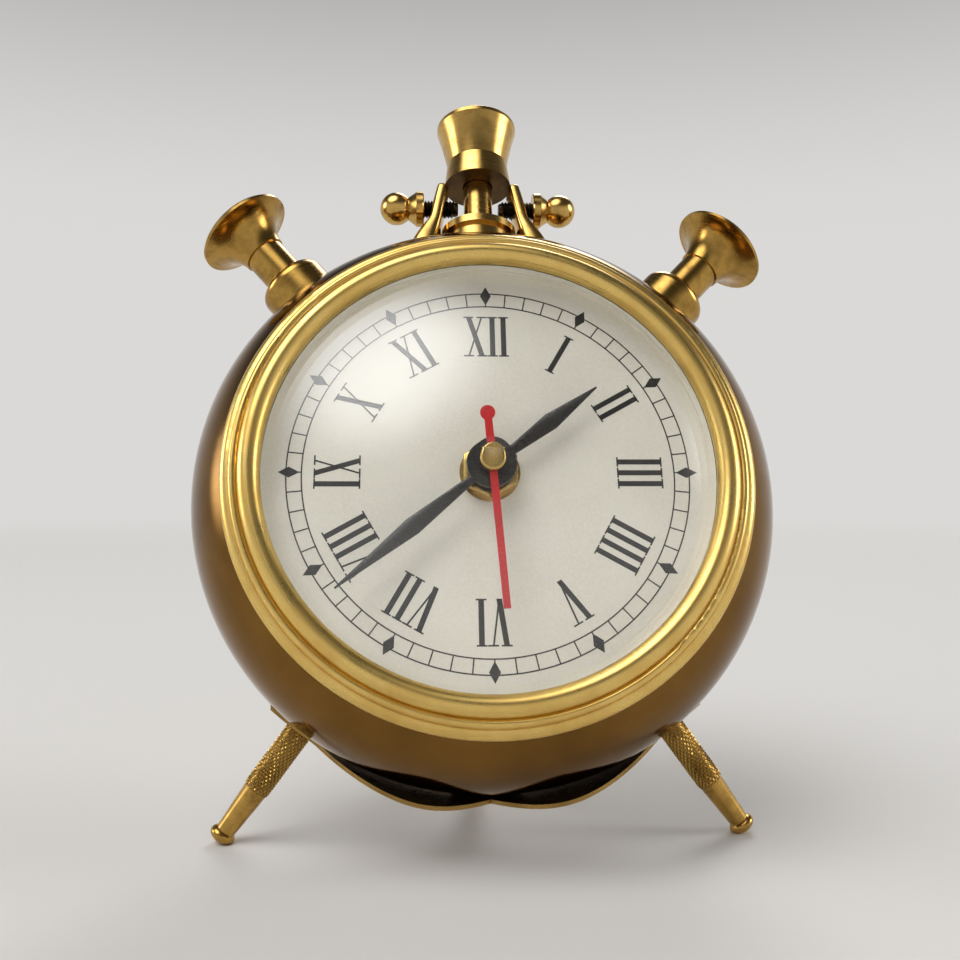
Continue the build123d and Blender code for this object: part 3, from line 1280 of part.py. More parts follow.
def leg_frame(word):
    """Where a leg leaves the plate, which way it points, and a direction square to it."""
    if word == "rear":
        turn = radians(REAR_LEG_ANGLE)
        along = Vector(0, sin(turn), -cos(turn))
        return TONGUE_CENTRE + along * TONGUE_OUTER_RADIUS, along, Vector(1, 0, 0)
    turn = radians(LEG_SPREAD_ANGLE)
    along = Vector(SIDES[word] * sin(turn), 0, -cos(turn))
    hub = Vector(DIAL_SHIFT, DIAL_SETBACK + LEG_SETBACK, SADDLE_CENTRE.Z)
    return hub + along * SADDLE_OUTER_RADIUS, along, Vector(0, 1, 0)


def leg_plane(word, distance):
    """Plane square to a leg, at a distance down it from the plate's outer face."""
    root, along, square = leg_frame(word)
    return Plane(origin=root + along * distance, x_dir=square, z_dir=along)


LEGS = ("left", "right", "rear")


def leg(word):
    """Leg: a stud into the case, a knurled grip, a taper and a bead cut flat where it stands."""
    root, along, square = leg_frame(word)
    bead_start = LEG_LENGTH - sqrt(LEG_BEAD_RADIUS ** 2 - LEG_TOE_RADIUS ** 2)
    bead_end = LEG_LENGTH + LEG_BEAD_RADIUS
    with BuildPart() as post:
        with BuildSketch(Plane(origin=root, x_dir=square, z_dir=square.cross(along))):
            with BuildLine():
                Polyline(
                    (0, bead_end),
                    (0, -LEG_STUD_LENGTH),
                    (LEG_STUD_RADIUS, -LEG_STUD_LENGTH),
                    (LEG_STUD_RADIUS, 0),
                    (LEG_KNURL_RADIUS - LEG_CHAMFER, 0),
                    (LEG_KNURL_RADIUS, LEG_CHAMFER),
                    (LEG_KNURL_RADIUS, LEG_KNURL_LENGTH - LEG_CHAMFER),
                    (LEG_TAPER_RADIUS, LEG_KNURL_LENGTH),
                    (LEG_TOE_RADIUS, bead_start),
                )
                ThreePointArc(
                    (LEG_TOE_RADIUS, bead_start),
                    (LEG_BEAD_RADIUS, LEG_LENGTH),
                    (0, bead_end),
                )
            make_face()
        revolve(axis=Axis(root, along))
        with BuildSketch(Plane.XY):
            with Locations(tuple(root + along * LEG_LENGTH)[:2]):
                Circle(OVERRUN)
        extrude(amount=-OVERRUN, mode=Mode.SUBTRACT)
    return post


for word in LEGS:
    keep(leg(word), f"{word}_leg")

# Saddle plate: a level trough trimmed to its outline, then the tongue up the back of the case
plan_origin = (DIAL_SHIFT, DIAL_SETBACK, 0)
half_tongue = TONGUE_WIDTH / 2
tongue_start = TONGUE_CENTRE.Y - DIAL_SETBACK
trough_front = SADDLE_LOBE_REACH + OVERRUN
trough_back = WAIST.origin.Y - DIAL_SETBACK + trough_front
sweep_angle = 2 * SADDLE_ARM_ANGLE
with BuildPart() as saddle_plate:
    with BuildSketch(Plane(origin=SADDLE_CENTRE - Vector(0, trough_back, 0), x_dir=(1, 0, 0), z_dir=(0, -1, 0))):
        with BuildLine():
            outer_arc = CenterArc((0, 0), SADDLE_OUTER_RADIUS, -90 - SADDLE_ARM_ANGLE, sweep_angle)
            inner_arc = CenterArc((0, 0), SADDLE_RADIUS, -90 - SADDLE_ARM_ANGLE, sweep_angle)
            Line(outer_arc @ 0, inner_arc @ 0)
            Line(outer_arc @ 1, inner_arc @ 1)
        make_face()
    extrude(amount=-2 * trough_back)
    with BuildSketch(Plane(origin=plan_origin, x_dir=(1, 0, 0), z_dir=(0, 0, 1))):
        for side in (-1, 1):
            with BuildLine():
                Spline(
                    (0, -SADDLE_NOTCH_REACH),
                    (side * SADDLE_LOBE_PLACE, -SADDLE_LOBE_REACH),
                    (side * SADDLE_NECK_PLACE, SADDLE_NECK_BACK),
                    (side * SADDLE_TIP_PLACE, SADDLE_TIP_FRONT),
                    tangents=[(side * SADDLE_LOBE_PLACE, -SADDLE_LOBE_REACH), (side * SADDLE_TIP_PLACE, 0)],
                )
                Line((side * SADDLE_TIP_PLACE, SADDLE_TIP_FRONT), (side * SADDLE_TIP_PLACE, SADDLE_TIP_BACK))
                Line((side * SADDLE_TIP_PLACE, SADDLE_TIP_BACK), (side * SADDLE_NECK_PLACE, SADDLE_TIP_BACK))
                Line((side * SADDLE_NECK_PLACE, SADDLE_TIP_BACK), (side * half_tongue, tongue_start))
                Line((side * half_tongue, tongue_start), (0, tongue_start))
                Line((0, tongue_start), (0, -SADDLE_NOTCH_REACH))
            make_face()
    extrude(amount=SADDLE_CENTRE.Z, mode=Mode.INTERSECT)
    with BuildSketch(Plane(origin=TONGUE_CENTRE, x_dir=(0, 1, 0), z_dir=(1, 0, 0))):
        with BuildLine():
            outer_bend = CenterArc((0, 0), TONGUE_OUTER_RADIUS, -90, TONGUE_END_ANGLE)
            inner_bend = CenterArc((0, 0), TONGUE_RADIUS, -90, TONGUE_END_ANGLE)
            Line(outer_bend @ 0, inner_bend @ 0)
            Line(outer_bend @ 1, inner_bend @ 1)
        make_face()
    extrude(amount=half_tongue, both=True)
    for word in LEGS:
        with BuildSketch(leg_plane(word, OVERRUN)):
            Circle(LEG_STUD_RADIUS + RUNNING_CLEARANCE)
        extrude(amount=-2 * OVERRUN, mode=Mode.SUBTRACT)
keep(saddle_plate, "saddle_plate")

screw_places = [
    around(CENTRE, turn * 360 / COVER_SCREW_COUNT, COVER_SCREW_CIRCLE) for turn in range(COVER_SCREW_COUNT)
]

# Bosses inside the case, trimmed so that each ends within the wall
wall_middle = CASE_ROUNDING - CASE_WALL / 2
with BuildPart() as bosses:
    with BuildSketch(dial_plane(CASE_WALL / 2 - REAR_DEPTH)):
        with Locations(*screw_places):
            Circle(SCREW_BOSS_RADIUS)
    extrude(amount=SCREW_BOSS_HEIGHT)
    with BuildSketch(spoke_plane(0, CASE_RADIUS)):
        Circle(CROWN_BOSS_RADIUS)
    extrude(amount=-CROWN_BOSS_HEIGHT)
    for word in LEGS:
        with BuildSketch(leg_plane(word, 0)):
            Circle(LEG_BOSS_RADIUS)
        extrude(amount=-LEG_BOSS_HEIGHT)
    with BuildSketch(section_plane()):
        with BuildLine():
            trim_arc = CenterArc((RING_RADIUS, -CASE_WAIST_DEPTH), wall_middle, -90, 180)
            Polyline(
                trim_arc @ 1,
                (0, wall_middle - CASE_WAIST_DEPTH),
                (0, -wall_middle - CASE_WAIST_DEPTH),
                trim_arc @ 0,
            )
        make_face()
    revolve(axis=arbor_axis(), mode=Mode.INTERSECT)

# Pockets in the case for the collars, the ears and the studs of the legs
with BuildPart() as pockets:
    for bearing in PUSHER_BEARINGS.values():
        with BuildSketch(spoke_section(bearing)):
            with BuildLine():
                tenon_hole = TENON_RADIUS + RUNNING_CLEARANCE
                spot_face = COLLAR_RADIUS + SEAT_CLEARANCE
                Polyline(
                    (0, TENON_END),
                    (tenon_hole, TENON_END),
                    (tenon_hole, COLLAR_SEAT),
                    (spot_face, COLLAR_SEAT),
                    (spot_face, COLLAR_SEAT + OVERRUN),
                    (0, COLLAR_SEAT + OVERRUN),
                    close=True,
                )
            make_face()
        revolve(axis=spoke_axis(bearing))
    for lug in ears.values():
        add(lug.part)
    for word in LEGS:
        with BuildSketch(leg_plane(word, 0)):
            Circle(LEG_STUD_RADIUS + RUNNING_CLEARANCE)
        extrude(amount=-(LEG_STUD_LENGTH + SEAT_CLEARANCE))

# Case shell: the curved wall, dial ledge, bosses, and the holes for what is fixed in it
ledge_start = CASE_WAIST_DEPTH - DIAL_THICKNESS
ledge_root = RING_RADIUS + sqrt((CASE_ROUNDING - CASE_WALL / 2) ** 2 - ledge_start ** 2)
with BuildPart() as case_shell:
    with BuildSketch(section_plane()):
        with BuildLine():
            inner_rounding = CASE_ROUNDING - CASE_WALL
            lip_angle = degrees(asin((CASE_WAIST_DEPTH + CASE_LIP) / CASE_ROUNDING))
            inner_angle = degrees(asin((CASE_WAIST_DEPTH + CASE_LIP) / inner_rounding))
            outer_wall = CenterArc((RING_RADIUS, -CASE_WAIST_DEPTH), CASE_ROUNDING, -90, 90 + lip_angle)
            inner_wall = CenterArc((RING_RADIUS, -CASE_WAIST_DEPTH), inner_rounding, -90, 90 + inner_angle)
            Line(outer_wall @ 1, inner_wall @ 1)
            Polyline(
                outer_wall @ 0,
                (0, -REAR_DEPTH),
                (0, CASE_WALL - REAR_DEPTH),
                inner_wall @ 0,
            )
        make_face()
    revolve(axis=arbor_axis())
    with BuildSketch(dial_plane(-REAR_DEPTH)):
        Circle(REAR_MOUTH_RADIUS)
    extrude(amount=CASE_WALL + OVERRUN, mode=Mode.SUBTRACT)
    with BuildSketch(dial_plane(-DIAL_THICKNESS)):
        Circle(ledge_root)
        Circle(DIAL_LEDGE_RADIUS, mode=Mode.SUBTRACT)
    extrude(amount=-DIAL_LEDGE_THICKNESS)
    add(bosses.part)
    with BuildSketch(dial_plane(-COVER_DEPTH)):
        Circle(COVER_RADIUS + SEAT_CLEARANCE)
    extrude(amount=-(COVER_THICKNESS + OVERRUN), mode=Mode.SUBTRACT)
    with BuildSketch(dial_plane(-COVER_DEPTH)):
        with Locations(*screw_places):
            Circle(COVER_SCREW_RADIUS + RUNNING_CLEARANCE)
    extrude(amount=COVER_SCREW_LENGTH, mode=Mode.SUBTRACT)
    with BuildSketch(spoke_plane(0, CROWN_SEAT)):
        Circle(CROWN_WASHER_RADIUS + SEAT_CLEARANCE)
    extrude(amount=OVERRUN, mode=Mode.SUBTRACT)
    with BuildSketch(spoke_plane(0, CROWN_SEAT)):
        Circle(stud_hole)
    extrude(amount=-(CROWN_STUD_LENGTH - CROWN_WASHER_HEIGHT + SEAT_CLEARANCE), mode=Mode.SUBTRACT)
    add(pockets.part, mode=Mode.SUBTRACT)
keep(case_shell, "case_shell")

# Rear cover with the setting stem's hole, and its screws
with BuildPart() as rear_cover:
    with BuildSketch(dial_plane(-COVER_DEPTH)):
        Circle(COVER_RADIUS)
        with Locations(SETTING):
            Circle(SETTING_STEM_RADIUS + RUNNING_CLEARANCE, mode=Mode.SUBTRACT)
        with Locations(*screw_places):
            Circle(COVER_SCREW_RADIUS + RUNNING_CLEARANCE, mode=Mode.SUBTRACT)
    extrude(amount=-COVER_THICKNESS)
keep(rear_cover, "rear_cover")

screw_shank = COVER_THICKNESS + COVER_SCREW_LENGTH - SEAT_CLEARANCE
screw_top = REAR_DEPTH + COVER_SCREW_HEAD_HEIGHT
with BuildPart() as rear_cover_screws:
    with BuildSketch(dial_plane(-REAR_DEPTH)):
        with Locations(*screw_places):
            Circle(COVER_SCREW_HEAD_RADIUS)
    extrude(amount=-COVER_SCREW_HEAD_HEIGHT)
    with BuildSketch(dial_plane(-REAR_DEPTH)):
        with Locations(*screw_places):
            Circle(COVER_SCREW_RADIUS)
    extrude(amount=screw_shank)
    with BuildSketch(dial_plane(COVER_SCREW_SLOT_DEPTH - screw_top)):
        with Locations(*screw_places):
            Rectangle(2 * COVER_SCREW_HEAD_RADIUS, COVER_SCREW_SLOT_WIDTH)
    extrude(amount=-COVER_SCREW_SLOT_DEPTH, mode=Mode.SUBTRACT)
keep(rear_cover_screws, "rear_cover_screws")
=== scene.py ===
"""Round brass table clock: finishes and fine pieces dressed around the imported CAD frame."""

import json
import logging
from dataclasses import dataclass, field
from enum import Enum
from math import asin, copysign, cos, hypot, pi, radians, sin, tau

import bmesh
import bpy
from bmesh.types import BMEdge, BMesh, BMVert
from bpy.types import AreaLight, Material, Node, NodeSocket, NodeTree, Object
from mathutils import Matrix, Vector


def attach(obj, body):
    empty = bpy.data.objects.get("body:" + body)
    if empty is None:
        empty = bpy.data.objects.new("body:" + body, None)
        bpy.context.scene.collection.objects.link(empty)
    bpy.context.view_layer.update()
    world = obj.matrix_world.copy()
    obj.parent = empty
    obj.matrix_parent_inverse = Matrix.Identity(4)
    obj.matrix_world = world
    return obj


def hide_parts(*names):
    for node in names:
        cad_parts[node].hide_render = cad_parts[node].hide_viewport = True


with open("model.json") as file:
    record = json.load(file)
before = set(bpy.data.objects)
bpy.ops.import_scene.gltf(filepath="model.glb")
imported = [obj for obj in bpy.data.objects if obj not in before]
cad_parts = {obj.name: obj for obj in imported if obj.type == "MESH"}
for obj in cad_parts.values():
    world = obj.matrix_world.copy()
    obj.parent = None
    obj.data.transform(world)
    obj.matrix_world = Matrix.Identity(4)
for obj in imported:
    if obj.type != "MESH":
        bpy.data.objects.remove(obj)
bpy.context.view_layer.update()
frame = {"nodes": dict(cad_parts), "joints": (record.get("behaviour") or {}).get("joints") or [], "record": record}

LOG = logging.getLogger("table_clock")
MM = 0.001
MERGE_MM = 0.0005
NEAR_MM = 0.001
SMOOTH_ANGLE = radians(32)


def linear(code: str) -> tuple[float, float, float, float]:
    """Turn an sRGB hex colour into linear light.

    Args:
        code: six hex digits after a hash sign.

    Returns:
        Red, green, blue and an alpha of one.
    """
    channels = [int(code[place:place + 2], 16) / 255 for place in (1, 3, 5)]
    light = [c / 12.92 if c <= 0.04045 else ((c + 0.055) / 1.055) ** 2.4 for c in channels]
    return (*light, 1.0)


def add_node(tree: NodeTree, kind: str, feeds: dict | None = None, **settings) -> Node:
    """Add a node, set its properties, and set or link its inputs.

    Args:
        tree: node tree that gets the node.
        kind: the node's type name.
        feeds: input name or number, with a value or the output that feeds it.
        settings: properties of the node.

    Returns:
        The new node.
    """
    node = tree.nodes.new(kind)
    for name, value in settings.items():
        setattr(node, name, value)
    for socket, source in (feeds or {}).items():
        if isinstance(source, NodeSocket):
            tree.links.new(source, node.inputs[socket])
        else:
            node.inputs[socket].default_value = source
    return node


def new_material(name: str) -> tuple[Material, NodeTree]:
    """Make an empty node material.

    Args:
        name: the material's name.

    Returns:
        The material and its cleared node tree.
    """
    material = bpy.data.materials.new(name)
    material.use_nodes = True
    material.node_tree.nodes.clear()
    return material, material.node_tree


def noise(tree: NodeTree, place: NodeSocket, size_mm: float, detail: float,
          fineness: float = 0.5) -> NodeSocket:
    """Add a cloudy pattern.

    Args:
        tree: node tree that gets the node.
        place: coordinates that it is laid out in.
        size_mm: size of its clouds, in millimetres.
        detail: how many finer layers it has.
        fineness: how strong the finer layers are.

    Returns:
        The pattern, from nought to one.
    """
    return add_node(tree, "ShaderNodeTexNoise", {
        "Vector": place, "Scale": 1 / (size_mm * MM), "Detail": detail, "Roughness": fineness,
    }).outputs[0]


def ramp(tree: NodeTree, value: NodeSocket, span: tuple[float, float],
         ends: tuple[float, float] = (0.0, 1.0), blend: str = "LINEAR") -> NodeSocket:
    """Carry one span of a value over to another, held at both ends.

    Args:
        tree: node tree that gets the node.
        value: what is carried over.
        span: the value's lower and upper limit.
        ends: what these limits become.
        blend: how it runs between them.

    Returns:
        The new value.
    """
    return add_node(tree, "ShaderNodeMapRange", {
        "Value": value, "From Min": span[0], "From Max": span[1], "To Min": ends[0], "To Max": ends[1],
    }, interpolation_type=blend).outputs[0]


def tint(tree: NodeTree, share: NodeSocket, colour: str, other: str) -> NodeSocket:
    """Mix two sRGB hex colours.

    Args:
        tree: node tree that gets the node.
        share: how much of the second colour shows.
        colour: the first colour.
        other: the second colour.

    Returns:
        The mixed colour.
    """
    return add_node(tree, "ShaderNodeMix", {
        0: share, 6: linear(colour), 7: linear(other),
    }, data_type="RGBA").outputs[2]


def calc(tree: NodeTree, operation: str, first: NodeSocket, second: NodeSocket | float) -> NodeSocket:
    """Work out one value from two.

    Args:
        tree: node tree that gets the node.
        operation: name of the sum.
        first: its first value.
        second: its second value.

    Returns:
        The result.
    """
    return add_node(tree, "ShaderNodeMath", {0: first, 1: second}, operation=operation).outputs[0]


@dataclass(frozen=True)
class Spindle:
    """Axis that a turned piece was made about, in the row frame."""

    centre: Vector
    along: Vector

    def rings(self, tree: NodeTree) -> NodeSocket:
        """Coordinates that are equal all round the axis: distance from it, then place along it.

        Args:
            tree: node tree that gets the nodes.

        Returns:
            The vector output.
        """
        place = add_node(tree, "ShaderNodeTexCoord")
        turned = add_node(tree, "ShaderNodeMapping", {
            "Vector": place.outputs["Object"],
            "Location": self.centre,
            "Rotation": self.along.to_track_quat("Z", "Y").to_euler(),
        }, vector_type="TEXTURE")
        flat = add_node(tree, "ShaderNodeVectorMath", {
            0: turned.outputs[0], 1: (1, 1, 0),
        }, operation="MULTIPLY")
        distance = add_node(tree, "ShaderNodeVectorMath", {0: flat.outputs[0]}, operation="LENGTH")
        parts = add_node(tree, "ShaderNodeSeparateXYZ", {0: turned.outputs[0]})
        return add_node(tree, "ShaderNodeCombineXYZ", {
            "X": distance.outputs["Value"], "Z": parts.outputs["Z"],
        }).outputs[0]


@dataclass(frozen=True)
class TurnedMetal:
    """Metal worked on a lathe: fine rings about its spindle, and uneven darkening of its lacquer."""

    name: str
    spindle: Spindle
    colour: str
    tarnish: str
    groove_mm: float
    patch_mm: float
    roughness: tuple[float, float]
    relief_mm: float
    tarnish_share: float
    knurl_radii_mm: tuple[float, float] = (0.0, 0.0)
    knurl_end_mm: float = 0.0
    cloud_span: tuple[float, float] = (0.42, 0.74)
    polish_span: tuple[float, float] = (0.12, 0.42)
    patch_fineness: float = 0.62
    groove_strength: float = 0.6

    def stain(self, tree: NodeTree, rings: NodeSocket, patches: NodeSocket) -> NodeSocket:
        """Share of the darker colour: tarnish in cloudy patches, and painted shade in the hollows of a knurl.

        Args:
            tree: node tree that gets the nodes.
            rings: coordinates about the spindle.
            patches: cloudy pattern.

        Returns:
            The share, from nought to one.
        """
        cloud = ramp(tree, patches, self.cloud_span, (0.0, self.tarnish_share))
        if not self.knurl_end_mm:
            return cloud
        # Painted shade: the knurl's hollows get the darker colour towards their roots
        parts = add_node(tree, "ShaderNodeSeparateXYZ", {0: rings})
        root, crest = (radius * MM for radius in self.knurl_radii_mm)
        hollow_shade = ramp(tree, parts.outputs["X"], (root, crest), (1.0, 0.0))
        grip = calc(tree, "LESS_THAN", parts.outputs["Z"], self.knurl_end_mm * MM)
        return calc(tree, "MAXIMUM", cloud, calc(tree, "MULTIPLY", hollow_shade, grip))

    def build(self) -> Material:
        """Lay grooves round the spindle and patches over the piece.

        Returns:
            The material.
        """
        material, tree = new_material(self.name)
        rings = self.spindle.rings(tree)
        place = add_node(tree, "ShaderNodeTexCoord").outputs["Object"]
        grooves = noise(tree, rings, self.groove_mm, detail=3.0)
        patches = noise(tree, place, self.patch_mm, detail=4.0, fineness=self.patch_fineness)
        tone = tint(tree, self.stain(tree, rings, patches), self.colour, self.tarnish)
        rough = ramp(tree, calc(tree, "MULTIPLY", grooves, patches), self.polish_span, self.roughness)
        relief = add_node(tree, "ShaderNodeBump", {
            "Height": grooves, "Distance": self.relief_mm * MM, "Strength": self.groove_strength,
        }).outputs[0]
        shader = add_node(tree, "ShaderNodeBsdfPrincipled", {
            "Base Color": tone, "Metallic": 1.0, "Roughness": rough, "Normal": relief,
        })
        add_node(tree, "ShaderNodeOutputMaterial", {"Surface": shader.outputs[0]})
        return material


@dataclass(frozen=True)
class GrainFinish:
    """Paint, plastic, print, rubber or plain metal with an even fine grain."""

    name: str
    colour: str
    shade: str
    grain_mm: float
    roughness: tuple[float, float]
    relief_mm: float
    metallic: float = 0.0
    coat: float = 0.0
    drift_mm: float = 9.0
    shade_span: tuple[float, float] = (0.14, 0.40)
    grain_span: tuple[float, float] = (0.3, 0.7)
    grain_strength: float = 0.5

    def build(self) -> Material:
        """Lay a fine grain over the piece, with a slow drift of its shade.

        Returns:
            The material.
        """
        material, tree = new_material(self.name)
        place = add_node(tree, "ShaderNodeTexCoord").outputs["Object"]
        grain = noise(tree, place, self.grain_mm, detail=3.0)
        drift = noise(tree, place, self.drift_mm, detail=2.0)
        share = ramp(tree, calc(tree, "MULTIPLY", grain, drift), self.shade_span)
        tone = tint(tree, share, self.colour, self.shade)
        rough = ramp(tree, grain, self.grain_span, self.roughness)
        relief = add_node(tree, "ShaderNodeBump", {
            "Height": grain, "Distance": self.relief_mm * MM, "Strength": self.grain_strength,
        }).outputs[0]
        shader = add_node(tree, "ShaderNodeBsdfPrincipled", {
            "Base Color": tone, "Metallic": self.metallic, "Roughness": rough, "Normal": relief,
            "Coat Weight": self.coat,
        })
        add_node(tree, "ShaderNodeOutputMaterial", {"Surface": shader.outputs[0]})
        return material


@dataclass(frozen=True)
class ClearGlass:
    """Pressed and polished clear glass, faintly uneven, that lets the lamps through to the dial."""

    name: str = "pressed_clear_glass"
    colour: str = "#FEFFFE"
    ripple_mm: float = 14.0
    roughness: tuple[float, float] = (0.0, 0.03)
    smear_span: tuple[float, float] = (0.45, 0.8)
    refraction: float = 1.5

    def build(self) -> Material:
        """Make clear glass that casts no shadow on the dial.

        Returns:
            The material.
        """
        material, tree = new_material(self.name)
        place = add_node(tree, "ShaderNodeTexCoord").outputs["Object"]
        smear = noise(tree, place, self.ripple_mm, detail=4.0)
        rough = ramp(tree, smear, self.smear_span, self.roughness)
        shader = add_node(tree, "ShaderNodeBsdfPrincipled", {
            "Base Color": linear(self.colour), "Roughness": rough, "IOR": self.refraction,
            "Transmission Weight": 1.0,
        })
        clear = add_node(tree, "ShaderNodeBsdfTransparent", {"Color": linear(self.colour)})
        ray = add_node(tree, "ShaderNodeLightPath")
        either = calc(tree, "MAXIMUM", ray.outputs["Is Shadow Ray"], ray.outputs["Is Diffuse Ray"])
        both = add_node(tree, "ShaderNodeMixShader", {0: either, 1: shader.outputs[0], 2: clear.outputs[0]})
        add_node(tree, "ShaderNodeOutputMaterial", {"Surface": both.outputs[0]})
        return material


@dataclass(frozen=True)
class Stance:
    """The clock's own frame: the dial's centre, and the ways right, up to twelve, and out of the dial."""

    centre: Vector
    front: Vector
    right: Vector = field(default_factory=lambda: Vector((1, 0, 0)))

    @property
    def up(self) -> Vector:
        """The way from the dial's centre to twelve."""
        return self.front.cross(self.right)

    def vector(self, right: float, up: float, front: float) -> Vector:
        """A direction in the row frame from its parts in the clock's frame."""
        return self.right * right + self.up * up + self.front * front

    def point(self, right: float, up: float, front: float) -> Vector:
        """A place in the row frame, in metres, from millimetres in the clock's frame."""
        return self.centre + self.vector(right, up, front) * MM

    def heading(self, bearing: float) -> Vector:
        """The way out from the dial's centre at a bearing clockwise from twelve, in degrees."""
        return self.vector(sin(radians(bearing)), cos(radians(bearing)), 0)

    def matrix(self) -> Matrix:
        """Turns millimetres in the clock's frame, with z out of the dial, into the row frame."""
        return axes(self.centre, self.right, self.up, self.front)


def axes(origin: Vector, x_way: Vector, y_way: Vector, z_way: Vector) -> Matrix:
    """Matrix that puts millimetres of a local frame into the row frame.

    Args:
        origin: the local frame's origin in the row frame, in metres.
        x_way: unit direction of local x.
        y_way: unit direction of local y.
        z_way: unit direction of local z.

    Returns:
        The four by four matrix.
    """
    turn = Matrix((x_way, y_way, z_way)).transposed().to_4x4()
    return Matrix.Translation(origin) @ turn @ Matrix.Scale(MM, 4)


def axes_along(origin: Vector, z_way: Vector) -> Matrix:
    """Matrix for a piece that is round about its local z.

    Args:
        origin: the local frame's origin in the row frame, in metres.
        z_way: unit direction of local z.

    Returns:
        The four by four matrix.
    """
    side = z_way.orthogonal().normalized()
    return axes(origin, side, z_way.cross(side), z_way)


def turn_outline(bm: BMesh, outline: list[tuple[float, float]], steps: int) -> list[BMVert]:
    """Turn an open outline about local z and close it.

    Args:
        bm: mesh that gets the turned surface.
        outline: pairs of distance from the axis and height, in millimetres.
        steps: number of segments round the axis.

    Returns:
        The vertices of the turned surface.
    """
    before = set(bm.verts)
    chain = [bm.verts.new((radius, 0, height)) for radius, height in outline]
    edges = [bm.edges.new(pair) for pair in zip(chain, chain[1:])]
    bmesh.ops.spin(bm, geom=chain + edges, axis=(0, 0, 1), cent=(0, 0, 0), angle=tau, steps=steps,
                   use_merge=True)
    made = [vert for vert in bm.verts if vert not in before]
    bmesh.ops.remove_doubles(bm, verts=made, dist=MERGE_MM)
    return [vert for vert in bm.verts if vert not in before]


def bulb(neck: float, radius: float, half_length: float, centre: float,
         steps: int) -> list[tuple[float, float]]:
    """Lay out the section of a bulb that ends a turned piece.

    Args:
        neck: radius where the bulb begins, in millimetres.
        radius: its greatest radius.
        half_length: half its length along the axis.
        centre: its middle's place along the axis.
        steps: number of segments.

    Returns:
        Pairs of distance from the axis and place along it, from the neck to the end.
    """
    first = asin(neck / radius)
    turns = [first + (pi - first) * count / steps for count in range(steps + 1)]
    return [(radius * sin(turn), centre - half_length * cos(turn)) for turn in turns]


def thicken(bm: BMesh, rise: float) -> None:
    """Give all faces a thickness along local z.

    Args:
        bm: mesh of open faces.
        rise: how far the copied faces move, in millimetres.
    """
    grown = bmesh.ops.extrude_face_region(bm, geom=bm.faces[:], use_keep_orig=True)["geom"]
    moved = [part for part in grown if isinstance(part, BMVert)]
    bmesh.ops.translate(bm, vec=(0, 0, rise), verts=moved)


def link_mesh(bm: BMesh, name: str) -> Object:
    """Make a mesh an object of the scene.

    Args:
        bm: the mesh, freed here.
        name: the object's name.

    Returns:
        The object.
    """
    mesh = bpy.data.meshes.new(name)
    bm.to_mesh(mesh)
    bm.free()
    made = bpy.data.objects.new(name, mesh)
    bpy.context.scene.collection.objects.link(made)
    return made


def finish_piece(bm: BMesh, name: str, place: Matrix, body: str, material: Material,
                 finish: str, *replaced: str) -> Object:
    """Put a local mesh into the row frame as a piece of the clock.

    Args:
        bm: mesh in millimetres of its local frame, freed here.
        name: the piece's name.
        place: matrix from the local frame to the row frame.
        body: CAD body that it rides on.
        material: what it is dressed in.
        finish: name of a material slot of the record; not used.
        replaced: CAD nodes that it stands for.

    Returns:
        The finished object.
    """
    bmesh.ops.recalc_face_normals(bm, faces=bm.faces)
    bmesh.ops.transform(bm, matrix=place, verts=bm.verts)
    piece = link_mesh(bm, name)
    piece.data.shade_smooth()
    piece.data.set_sharp_from_angle(angle=SMOOTH_ANGLE)
    piece.data.materials.append(material)
    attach(piece, body)
    if replaced:
        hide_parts(*replaced)
    LOG.info("%s: %d faces on %s", name, len(piece.data.polygons), body)
    return piece


class Letter(Enum):
    """Letters of the Roman numbers, with the room that each takes across, in millimetres."""

    I = 2.25
    V = 4.5
    X = 4.7


